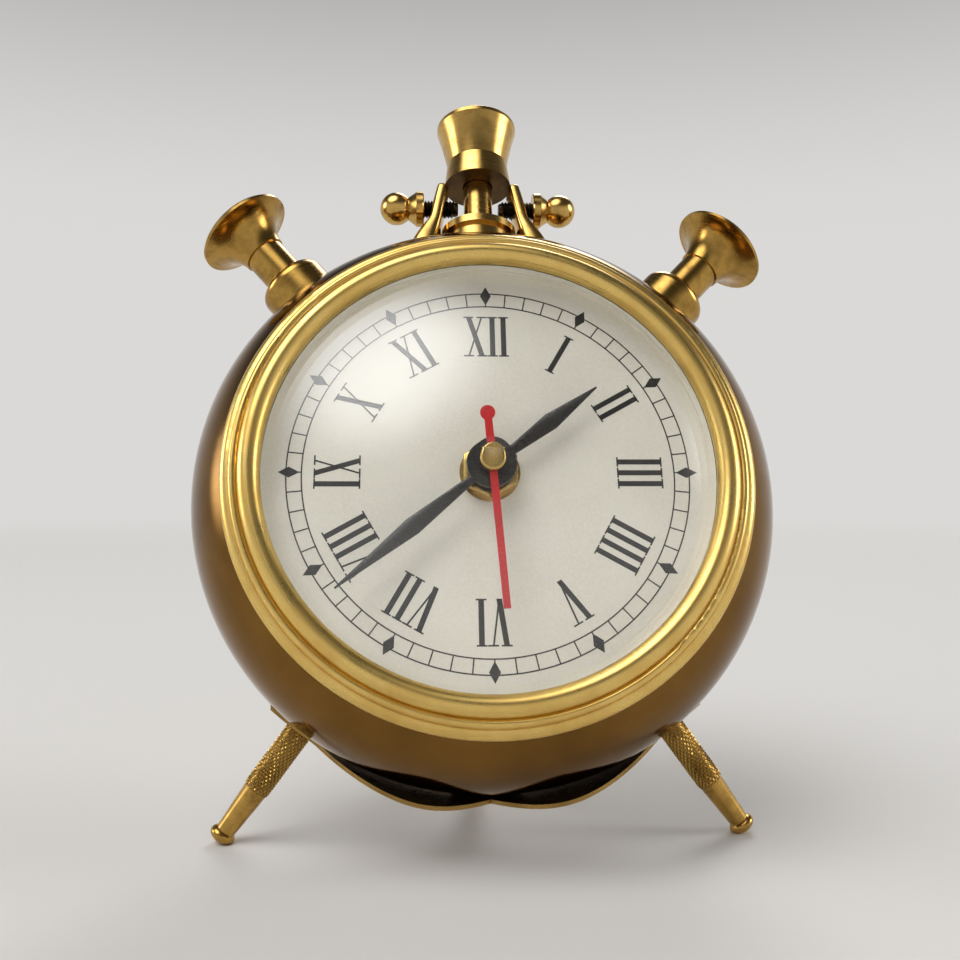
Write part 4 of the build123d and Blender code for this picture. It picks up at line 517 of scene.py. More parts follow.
@dataclass
class DialPrint:
    """Black printing on the dial: numbers with their tops outward, a minute track and hour diamonds."""

    stance: Stance
    ink: Material
    ink_height: float = 0.03
    number_foot: float = 24.9
    number_height: float = 8.9
    stem: float = 1.05
    hairline: float = 0.34
    serif: float = 2.0
    serif_height: float = 0.3
    track_inner: float = 36.1
    track_outer: float = 39.0
    track_line: float = 0.26
    diamond_length: float = 4.1
    diamond_width: float = 2.2
    diamond_centre: float = 38.5
    ring_steps: int = 180
    minutes: int = 60
    numbers: tuple[str, ...] = ("XII", "I", "II", "III", "IIII", "V", "VI", "VII", "VIII", "IX", "X", "XI")

    def stroke(self, bm: BMesh, turn: Matrix, start: tuple[float, float],
               end: tuple[float, float], width: float) -> None:
        """Print one straight stroke with level ends.

        Args:
            bm: mesh of the printing.
            turn: matrix that carries the upright number to its hour.
            start: middle of the stroke's foot.
            end: middle of the stroke's top.
            width: level width of the stroke.
        """
        lean, rise = end[0] - start[0], end[1] - start[1]
        shape = Matrix((
            (width, lean, 0, (start[0] + end[0]) / 2),
            (0, rise, 0, (start[1] + end[1]) / 2),
            (0, 0, 1, 0),
            (0, 0, 0, 1),
        ))
        bmesh.ops.create_grid(bm, x_segments=1, y_segments=1, size=0.5, matrix=turn @ shape)

    def foot_or_head(self, bm: BMesh, turn: Matrix, middle: float, level: float) -> None:
        """Print a serif at a place across, with its lower edge at a level."""
        self.stroke(bm, turn, (middle, level), (middle, level + self.serif_height), self.serif)

    def letter(self, bm: BMesh, turn: Matrix, letter: Letter, middle: float) -> None:
        """Print one letter of a number.

        Args:
            bm: mesh of the printing.
            turn: matrix that carries the upright number to its hour.
            letter: which letter.
            middle: place of its middle across.
        """
        foot, top = self.number_foot, self.number_foot + self.number_height
        head = top - self.serif_height
        reach = (letter.value - self.serif) / 2
        if letter is Letter.I:
            self.stroke(bm, turn, (middle, foot), (middle, top), self.stem)
            feet, heads = [middle], [middle]
        elif letter is Letter.V:
            self.stroke(bm, turn, (middle, foot), (middle - reach, top), self.stem)
            self.stroke(bm, turn, (middle, foot), (middle + reach, top), self.hairline)
            feet, heads = [], [middle - reach, middle + reach]
        else:
            self.stroke(bm, turn, (middle + reach, foot), (middle - reach, top), self.stem)
            self.stroke(bm, turn, (middle - reach, foot), (middle + reach, top), self.hairline)
            feet = heads = [middle - reach, middle + reach]
        for place in feet:
            self.foot_or_head(bm, turn, place, foot)
        for place in heads:
            self.foot_or_head(bm, turn, place, head)

    def number(self, bm: BMesh, word: str, bearing: float) -> None:
        """Print one hour's number.

        Args:
            bm: mesh of the printing.
            word: its letters.
            bearing: place on the dial, in degrees clockwise from twelve.
        """
        turn = Matrix.Rotation(-radians(bearing), 4, "Z")
        letters = [Letter[sign] for sign in word]
        left = -sum(letter.value for letter in letters) / 2
        for letter in letters:
            self.letter(bm, turn, letter, left + letter.value / 2)
            left += letter.value

    def circle(self, bm: BMesh, radius: float) -> None:
        """Print one circle of the track.

        Args:
            bm: mesh of the printing.
            radius: radius of the line's middle.
        """
        inner = radius - self.track_line / 2
        made = bmesh.ops.create_circle(bm, segments=self.ring_steps, radius=inner)["verts"]
        edges = {edge for vert in made for edge in vert.link_edges}
        grown = bmesh.ops.extrude_edge_only(bm, edges=list(edges))["geom"]
        outer = [part for part in grown if isinstance(part, BMVert)]
        size = (inner + self.track_line) / inner
        bmesh.ops.scale(bm, vec=(size, size, 1), verts=outer)

    def track(self, bm: BMesh) -> None:
        """Print the two circles, the minute lines and a diamond at each hour.

        Args:
            bm: mesh of the printing.
        """
        self.circle(bm, self.track_inner)
        self.circle(bm, self.track_outer)
        for minute in range(self.minutes):
            turn = Matrix.Rotation(-minute * tau / self.minutes, 4, "Z")
            self.stroke(bm, turn, (0, self.track_inner), (0, self.track_outer), self.track_line)
            if minute % (self.minutes // len(self.numbers)) == 0:
                lozenge = Matrix.Translation((0, self.diamond_centre, 0)) @ Matrix.Diagonal(
                    (self.diamond_width / 2, self.diamond_length / 2, 1, 1))
                bmesh.ops.create_circle(bm, cap_ends=True, segments=4, radius=1, matrix=turn @ lozenge)

    def build(self) -> None:
        """Print the dial and give the ink its thickness."""
        bm = bmesh.new()
        for hour, word in enumerate(self.numbers):
            self.number(bm, word, hour * 360 / len(self.numbers))
        self.track(bm)
        thicken(bm, self.ink_height)
        finish_piece(bm, "dial_print", self.stance.matrix(), "root", self.ink, "black_hand")


@dataclass
class FoldedHand:
    """Lozenge hand pressed from thin sheet with a ridge along its middle, and a round hub."""

    stance: Stance
    lacquer: Material
    node: str
    body: str
    bearing: float
    height: float
    length: float
    broad: float
    hub_radius: float
    bore: float
    root_width: float
    width: float = 3.5
    tip_width: float = 0.3
    thickness: float = 0.6
    sheet: float = 0.24
    edge_lift: float = 0.02
    edge_round: float = 0.15
    hub_steps: int = 64

    def blade(self, bm: BMesh) -> None:
        """Shape one flank, mirror it across the ridge and give it the sheet's thickness.

        Args:
            bm: mesh of the hand, empty so far.
        """
        edge = self.sheet + self.edge_lift
        foot = self.hub_radius - self.sheet
        ridge = [
            bm.verts.new((0, foot, self.thickness)),
            bm.verts.new((0, self.broad, self.thickness)),
            bm.verts.new((0, self.length, edge)),
        ]
        rim = [
            bm.verts.new((self.root_width / 2, foot, edge)),
            bm.verts.new((self.width / 2, self.broad, edge)),
            bm.verts.new((self.tip_width / 2, self.length, edge)),
        ]
        for step in range(2):
            bm.faces.new((ridge[step], rim[step], rim[step + 1], ridge[step + 1]))
        bmesh.ops.mirror(bm, geom=bm.verts[:] + bm.edges[:] + bm.faces[:], axis="X", merge_dist=NEAR_MM)
        thicken(bm, -self.sheet)

    def build(self) -> None:
        """Press the blade, turn the hub and set them at the hand's place on the dial."""
        bm = bmesh.new()
        self.blade(bm)
        top, brow = self.thickness, self.thickness - self.edge_round
        turn_outline(bm, [
            (self.bore, 0), (self.hub_radius, 0), (self.hub_radius, brow),
            (self.hub_radius - self.edge_round, top), (self.bore, top), (self.bore, 0),
        ], self.hub_steps)
        turn = Matrix.Rotation(-radians(self.bearing), 4, "Z")
        place = self.stance.matrix() @ Matrix.Translation((0, 0, self.height)) @ turn
        finish_piece(bm, f"{self.node}_folded", place, self.body, self.lacquer, "black_hand", self.node)


@dataclass
class DialNut:
    """Brass hex nut on the movement's bush, with its upper corners eased."""

    stance: Stance
    brass: Material
    across_flats: float = 10.4
    height: float = 1.9
    foot: float = 0.5
    bore: float = 4.05
    ease: float = 0.35
    sides: int = 6
    side_steps: int = 4
    ease_steps: int = 2

    def build(self) -> None:
        """Bridge the hexagon to the bore, raise it and ease its upper edge."""
        bm = bmesh.new()
        corner = self.across_flats / 2 / cos(pi / self.sides)
        outer = bmesh.ops.create_circle(bm, segments=self.sides, radius=corner)["verts"]
        rim = list({edge for vert in outer for edge in vert.link_edges})
        bmesh.ops.subdivide_edges(bm, edges=rim, cuts=self.side_steps - 1)
        bmesh.ops.create_circle(bm, segments=self.sides * self.side_steps, radius=self.bore)
        bmesh.ops.bridge_loops(bm, edges=bm.edges[:])
        thicken(bm, self.height)
        brink = [
            edge for edge in bm.edges
            if all(vert.co.z > self.height / 2 and hypot(*vert.co.xy) > self.across_flats / 2 - self.ease
                   for vert in edge.verts)
        ]
        bmesh.ops.bevel(bm, geom=brink, offset=self.ease, affect="EDGES", segments=self.ease_steps,
                        profile=0.5, material=-1)
        place = self.stance.matrix() @ Matrix.Translation((0, 0, self.foot))
        finish_piece(bm, "dial_nut_eased", place, "root", self.brass, "turned_brass", "dial_nut")


class LegPlace(Enum):
    """Where a leg stands, with the way its foot leans out: sideways, back and its angle from upright."""

    LEFT = (-1.0, 0.0, 36.5)
    RIGHT = (1.0, 0.0, 36.5)
    REAR = (0.0, 1.0, 49.975)

    @property
    def word(self) -> str:
        """The leg's word in the names of nodes and pieces."""
        return self.name.lower()


@dataclass
class KnurledLeg:
    """Brass leg with a diamond-knurled grip, a taper and a bead that stands flat on the table."""

    where: LegPlace
    foot: Vector
    length: float = 25.1
    stud_radius: float = 2.0
    stud_length: float = 6.0
    grip_radius: float = 2.85
    grip_length: float = 15.2
    chamfer: float = 0.4
    taper_radius: float = 2.5
    toe_radius: float = 1.95
    solid_bead: float = 2.8
    bead_radius: float = 2.65
    bead_half_length: float = 1.55
    foot_flat: float = 0.3
    diamonds: int = 20
    diamond_pitch: float = 1.27
    groove_depth: float = 0.4
    mesh_share: int = 4
    bead_steps: int = 14

    @property
    def along(self) -> Vector:
        """The way down the leg.

        Returns:
            Its unit direction in the row frame.
        """
        side, back, angle = self.where.value
        lean = radians(angle)
        return Vector((side * sin(lean), back * sin(lean), -cos(lean)))

    @property
    def root(self) -> Vector:
        """Where the leg leaves the plate."""
        bead = self.foot + Vector((0, 0, (self.solid_bead - self.foot_flat) * MM))
        return bead - self.along * self.length * MM

    @property
    def bead_place(self) -> float:
        """Where the flattened bead sits so that it rests on the table.

        Returns:
            Its middle's place down the leg, in millimetres.
        """
        lean = radians(self.where.value[2])
        drop = hypot(self.bead_radius * sin(lean), self.bead_half_length * cos(lean))
        return self.length + (self.solid_bead - drop) / cos(lean)

    def outline(self) -> list[tuple[float, float]]:
        """Lay out the leg's section.

        Returns:
            Pairs of distance from the axis and place down it, from the stud's end to the bead's.
        """
        rows = round((self.grip_length - 2 * self.chamfer) / self.diamond_pitch) * self.mesh_share
        step = (self.grip_length - 2 * self.chamfer) / rows
        grip = [(self.grip_radius, self.chamfer + row * step) for row in range(rows + 1)]
        bead = bulb(self.toe_radius, self.bead_radius, self.bead_half_length, self.bead_place,
                    self.bead_steps)
        return [
            (0, -self.stud_length), (self.stud_radius, -self.stud_length), (self.stud_radius, 0),
            (self.grip_radius - self.chamfer, 0), *grip, (self.taper_radius, self.grip_length), *bead,
        ]

    def cut_diamonds(self, verts: list[BMVert]) -> None:
        """Sink two crossing families of grooves into the grip.

        Args:
            verts: vertices of the turned leg.
        """
        for vert in verts:
            radius = hypot(vert.co.x, vert.co.y)
            if abs(radius - self.grip_radius) > NEAR_MM or not 0 < vert.co.z < self.grip_length:
                continue
            around = Vector((1, 0)).angle_signed(vert.co.xy) / tau * self.diamonds
            down = (vert.co.z - self.chamfer) / self.diamond_pitch
            ridges = [abs((around + way * down) % 1 - 0.5) for way in (1, -1)]
            depth = self.groove_depth * 2 * max(ridges)
            vert.co.xy *= (self.grip_radius - depth) / radius

    def build(self, brass: Material) -> None:
        """Turn the leg, knurl it and cut its bead flat on the table.

        Args:
            brass: what it is dressed in.
        """
        bm = bmesh.new()
        verts = turn_outline(bm, self.outline(), self.diamonds * self.mesh_share)
        self.cut_diamonds(verts)
        place = axes_along(self.root, self.along)
        table = place.inverted()
        ground = table @ Vector((0, 0, 0))
        upward = (table @ Vector((0, 0, 1)) - ground).normalized()
        parts = bm.verts[:] + bm.edges[:] + bm.faces[:]
        cut = bmesh.ops.bisect_plane(bm, geom=parts, dist=MERGE_MM, plane_co=ground, plane_no=upward,
                                     clear_inner=True)
        brink = [part for part in cut["geom_cut"] if isinstance(part, BMEdge)]
        bmesh.ops.holes_fill(bm, edges=brink)
        node = f"{self.where.word}_leg"
        finish_piece(bm, f"{node}_knurled", place, "root", brass, "turned_brass", node)


@dataclass
class ThumbPiece:
    """Piece at one of the two thumb screws, with the way out along its screw."""

    word: str
    side: int
    axis_point: Vector
    metal: Material

    @property
    def outward(self) -> Matrix:
        """Matrix for what is round about the screw, with local z out along it."""
        return axes_along(self.axis_point, Vector((self.side, 0, 0)))


@dataclass
class ThreadedStud(ThumbPiece):
    """Steel stud of a thumb screw with its thread cut as a helix."""

    inner: float = 4.6
    outer: float = 16.0
    radius: float = 2.0
    pitch: float = 0.7
    thread_depth: float = 0.42
    core_rise: float = 0.02
    steps: int = 28
    point: float = 0.5

    def build(self) -> None:
        """Sweep one ridge round and along the stud over a plain core."""
        bm = bmesh.new()
        root = self.radius - self.thread_depth
        turns = int((self.outer - self.inner - 2 * self.point) / self.pitch)
        start = self.inner + self.point
        ridge = [
            bm.verts.new((root, 0, start)),
            bm.verts.new((self.radius, 0, start + self.pitch / 2)),
            bm.verts.new((root, 0, start + self.pitch)),
        ]
        edges = [bm.edges.new(pair) for pair in zip(ridge, ridge[1:])]
        bmesh.ops.spin(bm, geom=ridge + edges, axis=(0, 0, 1), cent=(0, 0, 0),
                       dvec=(0, 0, self.pitch / self.steps), angle=(turns - 1) * tau,
                       steps=(turns - 1) * self.steps)
        bmesh.ops.remove_doubles(bm, verts=bm.verts, dist=MERGE_MM)
        core = root + self.core_rise
        turn_outline(bm, [
            (0, self.inner), (root - self.point / 2, self.inner), (core, start), (core, self.outer),
            (0, self.outer),
        ], self.steps)
        node = f"{self.word}_thumb_stud"
        finish_piece(bm, f"{node}_threaded", self.outward, f"{self.word}_thumb_slider", self.metal, "steel",
                     node)


@dataclass
class TurnedKnob(ThumbPiece):
    """Brass knob of a thumb screw: a ball on a neck that runs out in a full cone to the bell's rim."""

    stud_radius: float = 2.0
    bell_inner: float = 12.4
    bell_outer: float = 14.3
    bell_radius: float = 3.95
    rim_ease: float = 0.25
    cone_radius: float = 3.65
    neck_radius: float = 2.5
    ball_centre: float = 18.6
    ball_radius: float = 3.65
    ball_steps: int = 18
    steps: int = 48

    def build(self) -> None:
        """Turn the knob from the bell's face, which closes on the stud, to the ball's end."""
        bm = bmesh.new()
        turn_outline(bm, [
            (0, self.bell_inner), (self.stud_radius, self.bell_inner),
            (self.bell_radius - self.rim_ease, self.bell_inner),
            (self.bell_radius, self.bell_inner + self.rim_ease),
            (self.bell_radius, self.bell_outer - self.rim_ease), (self.cone_radius, self.bell_outer),
            *bulb(self.neck_radius, self.ball_radius, self.ball_radius, self.ball_centre, self.ball_steps),
        ], self.steps)
        node = f"{self.word}_thumb_knob"
        finish_piece(bm, f"{node}_turned", self.outward, f"{self.word}_thumb", self.metal, "turned_brass",
                     node)


@dataclass
class FlaredEar(ThumbPiece):
    """Cast brass lug beside the crown: rounded all over, and spread at its foot where it meets the case.

    Each station holds the height above the thumb screw's axis, the inner and outer face's distance from the
    crown's axis, and the depth from front to back, in millimetres.
    """

    stance: Stance
    stations: tuple[tuple[float, float, float, float], ...] = (
        (-14.0, 9.8, 16.6, 10.8), (-12.0, 9.5, 16.0, 10.5), (-10.0, 9.13, 15.1, 10.2),
        (-8.5, 8.87, 14.3, 9.8), (-7.2, 8.65, 13.5, 9.4), (-6.1, 8.46, 12.75, 9.1),
        (-5.2, 8.3, 12.12, 8.8), (-4.5, 8.18, 11.7, 8.6), (-3.9, 8.08, 11.42, 8.45),
        (-3.0, 7.93, 11.15, 8.3), (-1.0, 7.58, 10.75, 8.0), (1.0, 7.24, 10.35, 7.7),
        (3.0, 6.89, 9.9, 7.4), (4.15, 6.69, 9.6, 7.2),
    )
    top: float = 5.25
    top_steps: int = 5
    roundness: float = 3.4
    steps: int = 44
    hole: float = 2.15
    hole_reach: float = 20.0
    hole_steps: int = 40

    def ring(self, bm: BMesh, height: float, inner: float, outer: float, depth: float) -> list[BMVert]:
        """Add one rounded section.

        Args:
            bm: mesh that gets the section.
            height: its height above the thumb screw's axis.
            inner: its inner face's distance from the crown's axis.
            outer: its outer face's distance from the crown's axis.
            depth: its depth from front to back.

        Returns:
            The section's vertices in order.
        """
        middle, half = (inner + outer) / 2 * self.side, (outer - inner) / 2
        power = 2 / self.roundness
        made = []
        for count in range(self.steps):
            turn = tau * count / self.steps
            across = copysign(abs(cos(turn)) ** power, cos(turn))
            along = copysign(abs(sin(turn)) ** power, sin(turn))
            made.append(bm.verts.new((middle + half * across, height, depth / 2 * along)))
        return made

    def shape(self) -> BMesh:
        """Loft the sections and close the lug with a rounded top.

        Returns:
            The lug's mesh, without its hole.
        """
        bm = bmesh.new()
        rings = [self.ring(bm, *station) for station in self.stations]
        base, inner, outer, depth = self.stations[-1]
        ease = self.top - base
        for count in range(1, self.top_steps + 1):
            turn = pi / 2 * count / self.top_steps
            shrink = ease * (1 - cos(turn))
            rings.append(self.ring(bm, base + ease * sin(turn), inner + shrink, outer - shrink,
                                   depth - 2 * shrink))
        for lower, upper in zip(rings, rings[1:]):
            for count in range(self.steps):
                after = (count + 1) % self.steps
                bm.faces.new((lower[count], lower[after], upper[after], upper[count]))
        bm.faces.new(rings[0])
        bm.faces.new(rings[-1])
        return bm

    def drill(self) -> Object:
        """Make the tool that bores the stud's hole.

        Returns:
            A round bar along the screw.
        """
        bm = bmesh.new()
        rim = [(0, 0), (self.hole, 0), (self.hole, self.hole_reach), (0, self.hole_reach)]
        turn_outline(bm, rim, self.hole_steps)
        bmesh.ops.recalc_face_normals(bm, faces=bm.faces)
        bmesh.ops.transform(bm, matrix=self.outward, verts=bm.verts)
        return link_mesh(bm, "drill")

    def build(self) -> None:
        """Make the lug and bore it for the stud."""
        tool = self.drill()
        node = f"{self.word}_ear"
        place = axes(self.axis_point, self.stance.right, self.stance.up, self.stance.front)
        piece = finish_piece(self.shape(), f"{node}_flared", place, "root", self.metal, "turned_brass", node)
        cut = piece.modifiers.new("stud_hole", "BOOLEAN")
        cut.object = tool
        view = bpy.context.evaluated_depsgraph_get()
        bored = bpy.data.meshes.new_from_object(piece.evaluated_get(view))
        piece.modifiers.clear()
        piece.data = bored
        piece.data.set_sharp_from_angle(angle=SMOOTH_ANGLE)
        # The tool's object goes with its mesh
        bpy.data.meshes.remove(tool.data)


@dataclass
class Workshop:
    """All finishes of the clock, made once and given to nodes and pieces by name."""

    stance: Stance
    facing_down: float = -0.95
    waist_depth: float = 14.0
    pusher_bearings: dict[str, float] = field(default_factory=lambda: {"left": -40.1, "right": 42.7})

    def spindles(self) -> dict[str, Spindle]:
        """Find the axes that the clock's turned pieces were made about.

        Returns:
            The axes by name.
        """
        waist = self.stance.point(0, 0, -self.waist_depth)
        found = {
            "dial": Spindle(self.stance.centre, self.stance.front),
            "crown": Spindle(waist, self.stance.up),
            "thumb": Spindle(joint("left_thumb_turn").centre, self.stance.right),
        }
        for word, bearing in self.pusher_bearings.items():
            found[f"{word}_pusher"] = Spindle(waist, self.stance.heading(bearing))
        for where in LegPlace:
            leg = leg_at(where)
            found[f"{where.word}_leg"] = Spindle(leg.root, leg.along)
        return found

    def brass(self) -> dict[str, Material]:
        """Make the brass finishes, each about its own spindle.

        Returns:
            The materials by name.
        """
        axis = self.spindles()
        made = {
            # Spun brass, buffed to a mirror and lacquered, with faint buffing rings: its deep golden brown is
            # darker than the brass, as painted shade for the dark surroundings it reflects
            "case": TurnedMetal("buffed_brass_case", axis["dial"], "#7E5C2C", "#4A3012", groove_mm=0.9,
                                patch_mm=26.0, roughness=(0.07, 0.16), relief_mm=0.0015, tarnish_share=0.5),
            # Brass with a satin lathe finish under lacquer: fine rings that spread the highlight
            "bezel": TurnedMetal("satin_brass_bezel", axis["dial"], "#E4C272", "#C89C4A", groove_mm=0.22,
                                 patch_mm=8.0, roughness=(0.24, 0.40), relief_mm=0.004, tarnish_share=0.55),
            # Rolled brass sheet, dulled by handling
            "sheet": TurnedMetal("rolled_brass_sheet", axis["dial"], "#A08048", "#68502C", groove_mm=0.5,
                                 patch_mm=7.0, roughness=(0.22, 0.42), relief_mm=0.003, tarnish_share=0.6),
            # Bright turned brass of the nut, washer and cap on the dial
            "dial": TurnedMetal("turned_brass_dial_fittings", axis["dial"], "#D0AE68", "#927238",
                                groove_mm=0.16, patch_mm=3.0, roughness=(0.16, 0.34), relief_mm=0.003,
                                tarnish_share=0.4),
            # Painted shade under the crown's skirt: turned brass coloured dark brown on the faces that point down
            "underside": TurnedMetal("oxidised_brass_underside", axis["crown"], "#5A4220", "#2E200E",
                                     groove_mm=0.3, patch_mm=4.0, roughness=(0.34, 0.5), relief_mm=0.004,
                                     tarnish_share=0.6),
        }
        # The pushers' darker pair is partly their brown stains and partly painted shade of their shaded sides
        handled, stained_and_shaded = ("#CDA75E", "#74531F"), ("#B48E48", "#553A14")
        tones = {"crown": handled, "thumb": handled, "left_pusher": stained_and_shaded, "right_pusher": stained_and_shaded}
        for word, (bright, dull) in tones.items():
            # Turned brass, polished on the lathe and a little tarnished: fine tool rings and brown patches
            made[word] = TurnedMetal(f"turned_brass_{word}", axis[word], bright, dull, groove_mm=0.2,
                                     patch_mm=3.6, roughness=(0.13, 0.30), relief_mm=0.003, tarnish_share=0.6)
        for word in (f"{where.word}_leg" for where in LegPlace):
            # Rolled diamond knurl and turned taper in brass, with painted shade in dark brown in the knurl's
            # hollows
            made[word] = TurnedMetal(f"knurled_brass_{word}", axis[word], "#C29A50", "#4F3614", groove_mm=0.2,
                                     patch_mm=3.6, roughness=(0.16, 0.32), relief_mm=0.003, tarnish_share=0.5,
                                     knurl_radii_mm=(2.44, 2.76), knurl_end_mm=15.0)
        return {word: finish.build() for word, finish in made.items()}

    def others(self) -> dict[str, Material]:
        """Make the finishes that aren't turned brass.

        Returns:
            The materials by name.
        """
        made = {
            # Clear soda-lime glass, pressed to a dome and polished
            "glass": ClearGlass(),
            # Sprayed eggshell lacquer on a metal dial: warm white with a very fine orange peel
            "dial_lacquer": GrainFinish("eggshell_dial_lacquer", "#ECE6DB", "#E2DBCF", grain_mm=0.5,
                                        roughness=(0.42, 0.55), relief_mm=0.004, drift_mm=16.0),
            # Pad-printed black ink: nearly even, slightly glossy, thin in places
            "ink": GrainFinish("printed_black_ink", "#17130F", "#2B2622", grain_mm=0.35,
                               roughness=(0.35, 0.5), relief_mm=0.002),
            # Black stove lacquer on pressed aluminium hands: satin, with a soft sheen on each flank
            "hand_lacquer": GrainFinish("black_hand_lacquer", "#231F1C", "#332E2A", grain_mm=0.3,
                                        roughness=(0.24, 0.36), relief_mm=0.003, coat=0.3),
            # Gloss red lacquer on the second hand
            "red_lacquer": GrainFinish("red_hand_lacquer", "#CF1F22", "#B0151A", grain_mm=0.4,
                                       roughness=(0.25, 0.35), relief_mm=0.002, coat=0.4),
            # Moulded ABS with a spark-eroded grain
            "black_plastic": GrainFinish("moulded_black_abs", "#1C1C1D", "#262627", grain_mm=0.45,
                                         roughness=(0.42, 0.6), relief_mm=0.012),
            # Moulded acetal, smooth and slightly waxy
            "white_plastic": GrainFinish("moulded_white_acetal", "#E9E6DD", "#DAD6CB", grain_mm=0.6,
                                         roughness=(0.35, 0.5), relief_mm=0.004),
            # Nitrile rubber cut from sheet, matt
            "rubber": GrainFinish("cut_nitrile_rubber", "#141414", "#202020", grain_mm=0.3,
                                  roughness=(0.7, 0.9), relief_mm=0.006),
            # Cold-rolled bright steel with short rolling marks
            "steel": GrainFinish("bright_rolled_steel", "#B9B8B4", "#8F8E8A", grain_mm=0.25,
                                 roughness=(0.2, 0.38), relief_mm=0.003, metallic=1.0),
            # Oil-blackened steel of the thumb screws' studs
            "black_steel": GrainFinish("oil_blackened_steel", "#4A4238", "#2B251E", grain_mm=0.3,
                                       roughness=(0.25, 0.45), relief_mm=0.004, metallic=1.0),
            # Sintered ferrite of the rotor
            "magnet": GrainFinish("sintered_ferrite", "#2E2E31", "#3A3A3E", grain_mm=0.2,
                                  roughness=(0.5, 0.7), relief_mm=0.006),
            # Enamelled copper wire of the winding
            "copper": GrainFinish("enamelled_copper_wire", "#B5652F", "#8C461C", grain_mm=0.18,
                                  roughness=(0.22, 0.35), relief_mm=0.02, metallic=1.0),
            # Glass-epoxy laminate with green solder mask
            "board": GrainFinish("green_glass_epoxy", "#1F5B33", "#184A29", grain_mm=0.6,
                                 roughness=(0.35, 0.5), relief_mm=0.006),
            # Plain printed film on the dry cell
            "cell_film": GrainFinish("grey_shrink_film", "#6A6C70", "#5C5E62", grain_mm=0.8,
                                     roughness=(0.25, 0.4), relief_mm=0.003, coat=0.3),
        }
        return {word: finish.build() for word, finish in made.items()}

    def dress_nodes(self, brass: dict[str, Material], others: dict[str, Material]) -> None:
        """Give every CAD node its finish.

        Args:
            brass: brass finishes by name.
            others: all other finishes by name.
        """
        dressed = {
            brass["case"]: "case_shell",
            brass["bezel"]: "bezel",
            brass["sheet"]: "saddle_plate rear_cover",
            brass["dial"]: "dial_nut dial_washer seconds_cap",
            brass["crown"]: "crown crown_stem crown_washer crown_screw left_ear right_ear",
            brass["thumb"]: "left_thumb_knob right_thumb_knob",
            brass["left_pusher"]: "left_pusher left_collar",
            brass["right_pusher"]: "right_pusher right_collar",
            brass["left_leg"]: "left_leg",
            brass["right_leg"]: "right_leg",
            brass["rear_leg"]: "rear_leg",
            others["glass"]: "glass",
            others["dial_lacquer"]: "dial",
            others["white_plastic"]: "dial_ring train_bridge hour_wheel minute_wheel third_wheel "
                                     "intermediate_wheel seconds_wheel motion_wheel",
            others["hand_lacquer"]: "hour_hand minute_hand",
            others["red_lacquer"]: "second_hand",
            others["black_plastic"]: "movement_front movement_back setting_knob",
            others["rubber"]: "glass_seal dial_gasket",
            others["black_steel"]: "left_thumb_stud right_thumb_stud",
            others["steel"]: "rear_cover_screws seconds_arbor rotor_pinion motion_post setting_stem stator "
                             "coil_core battery_contact_plus battery_contact_minus left_pusher_spring "
                             "right_pusher_spring left_pusher_clip right_pusher_clip",
            others["magnet"]: "rotor_magnet",
            others["copper"]: "coil_winding",
            others["board"]: "circuit_board",
            others["cell_film"]: "battery",
        }
        for material, words in dressed.items():
            for node in words.split():
                frame["nodes"][node].data.materials.clear()
                frame["nodes"][node].data.materials.append(material)
        # The crown's downward-facing faces take the painted shade of its skirt's underside
        crown = frame["nodes"]["crown"]
        crown.data.materials.append(brass["underside"])
        for face in crown.data.polygons:
            face.material_index = int(face.normal.dot(self.stance.up) < self.facing_down)
        LOG.info("dressed %d nodes", sum(len(words.split()) for words in dressed.values()))


def joint(name: str) -> Spindle:
    """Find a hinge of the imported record.

    Args:
        name: the joint's name.

    Returns:
        The line that it turns about.
    """
    found = next(entry for entry in frame["joints"] if entry["name"] == name)
    return Spindle(Vector(found["pos_m"]), Vector(found["axis"]).normalized())


def leg_at(where: LegPlace) -> KnurledLeg:
    """Stand a leg at its foot's mount.

    Args:
        where: which leg.

    Returns:
        The leg, not built yet.
    """
    mounts = {mount["name"]: Vector(mount["pos_m"]) for mount in frame["record"]["mounts"]}
    return KnurledLeg(where, mounts[f"{where.word}_foot"])


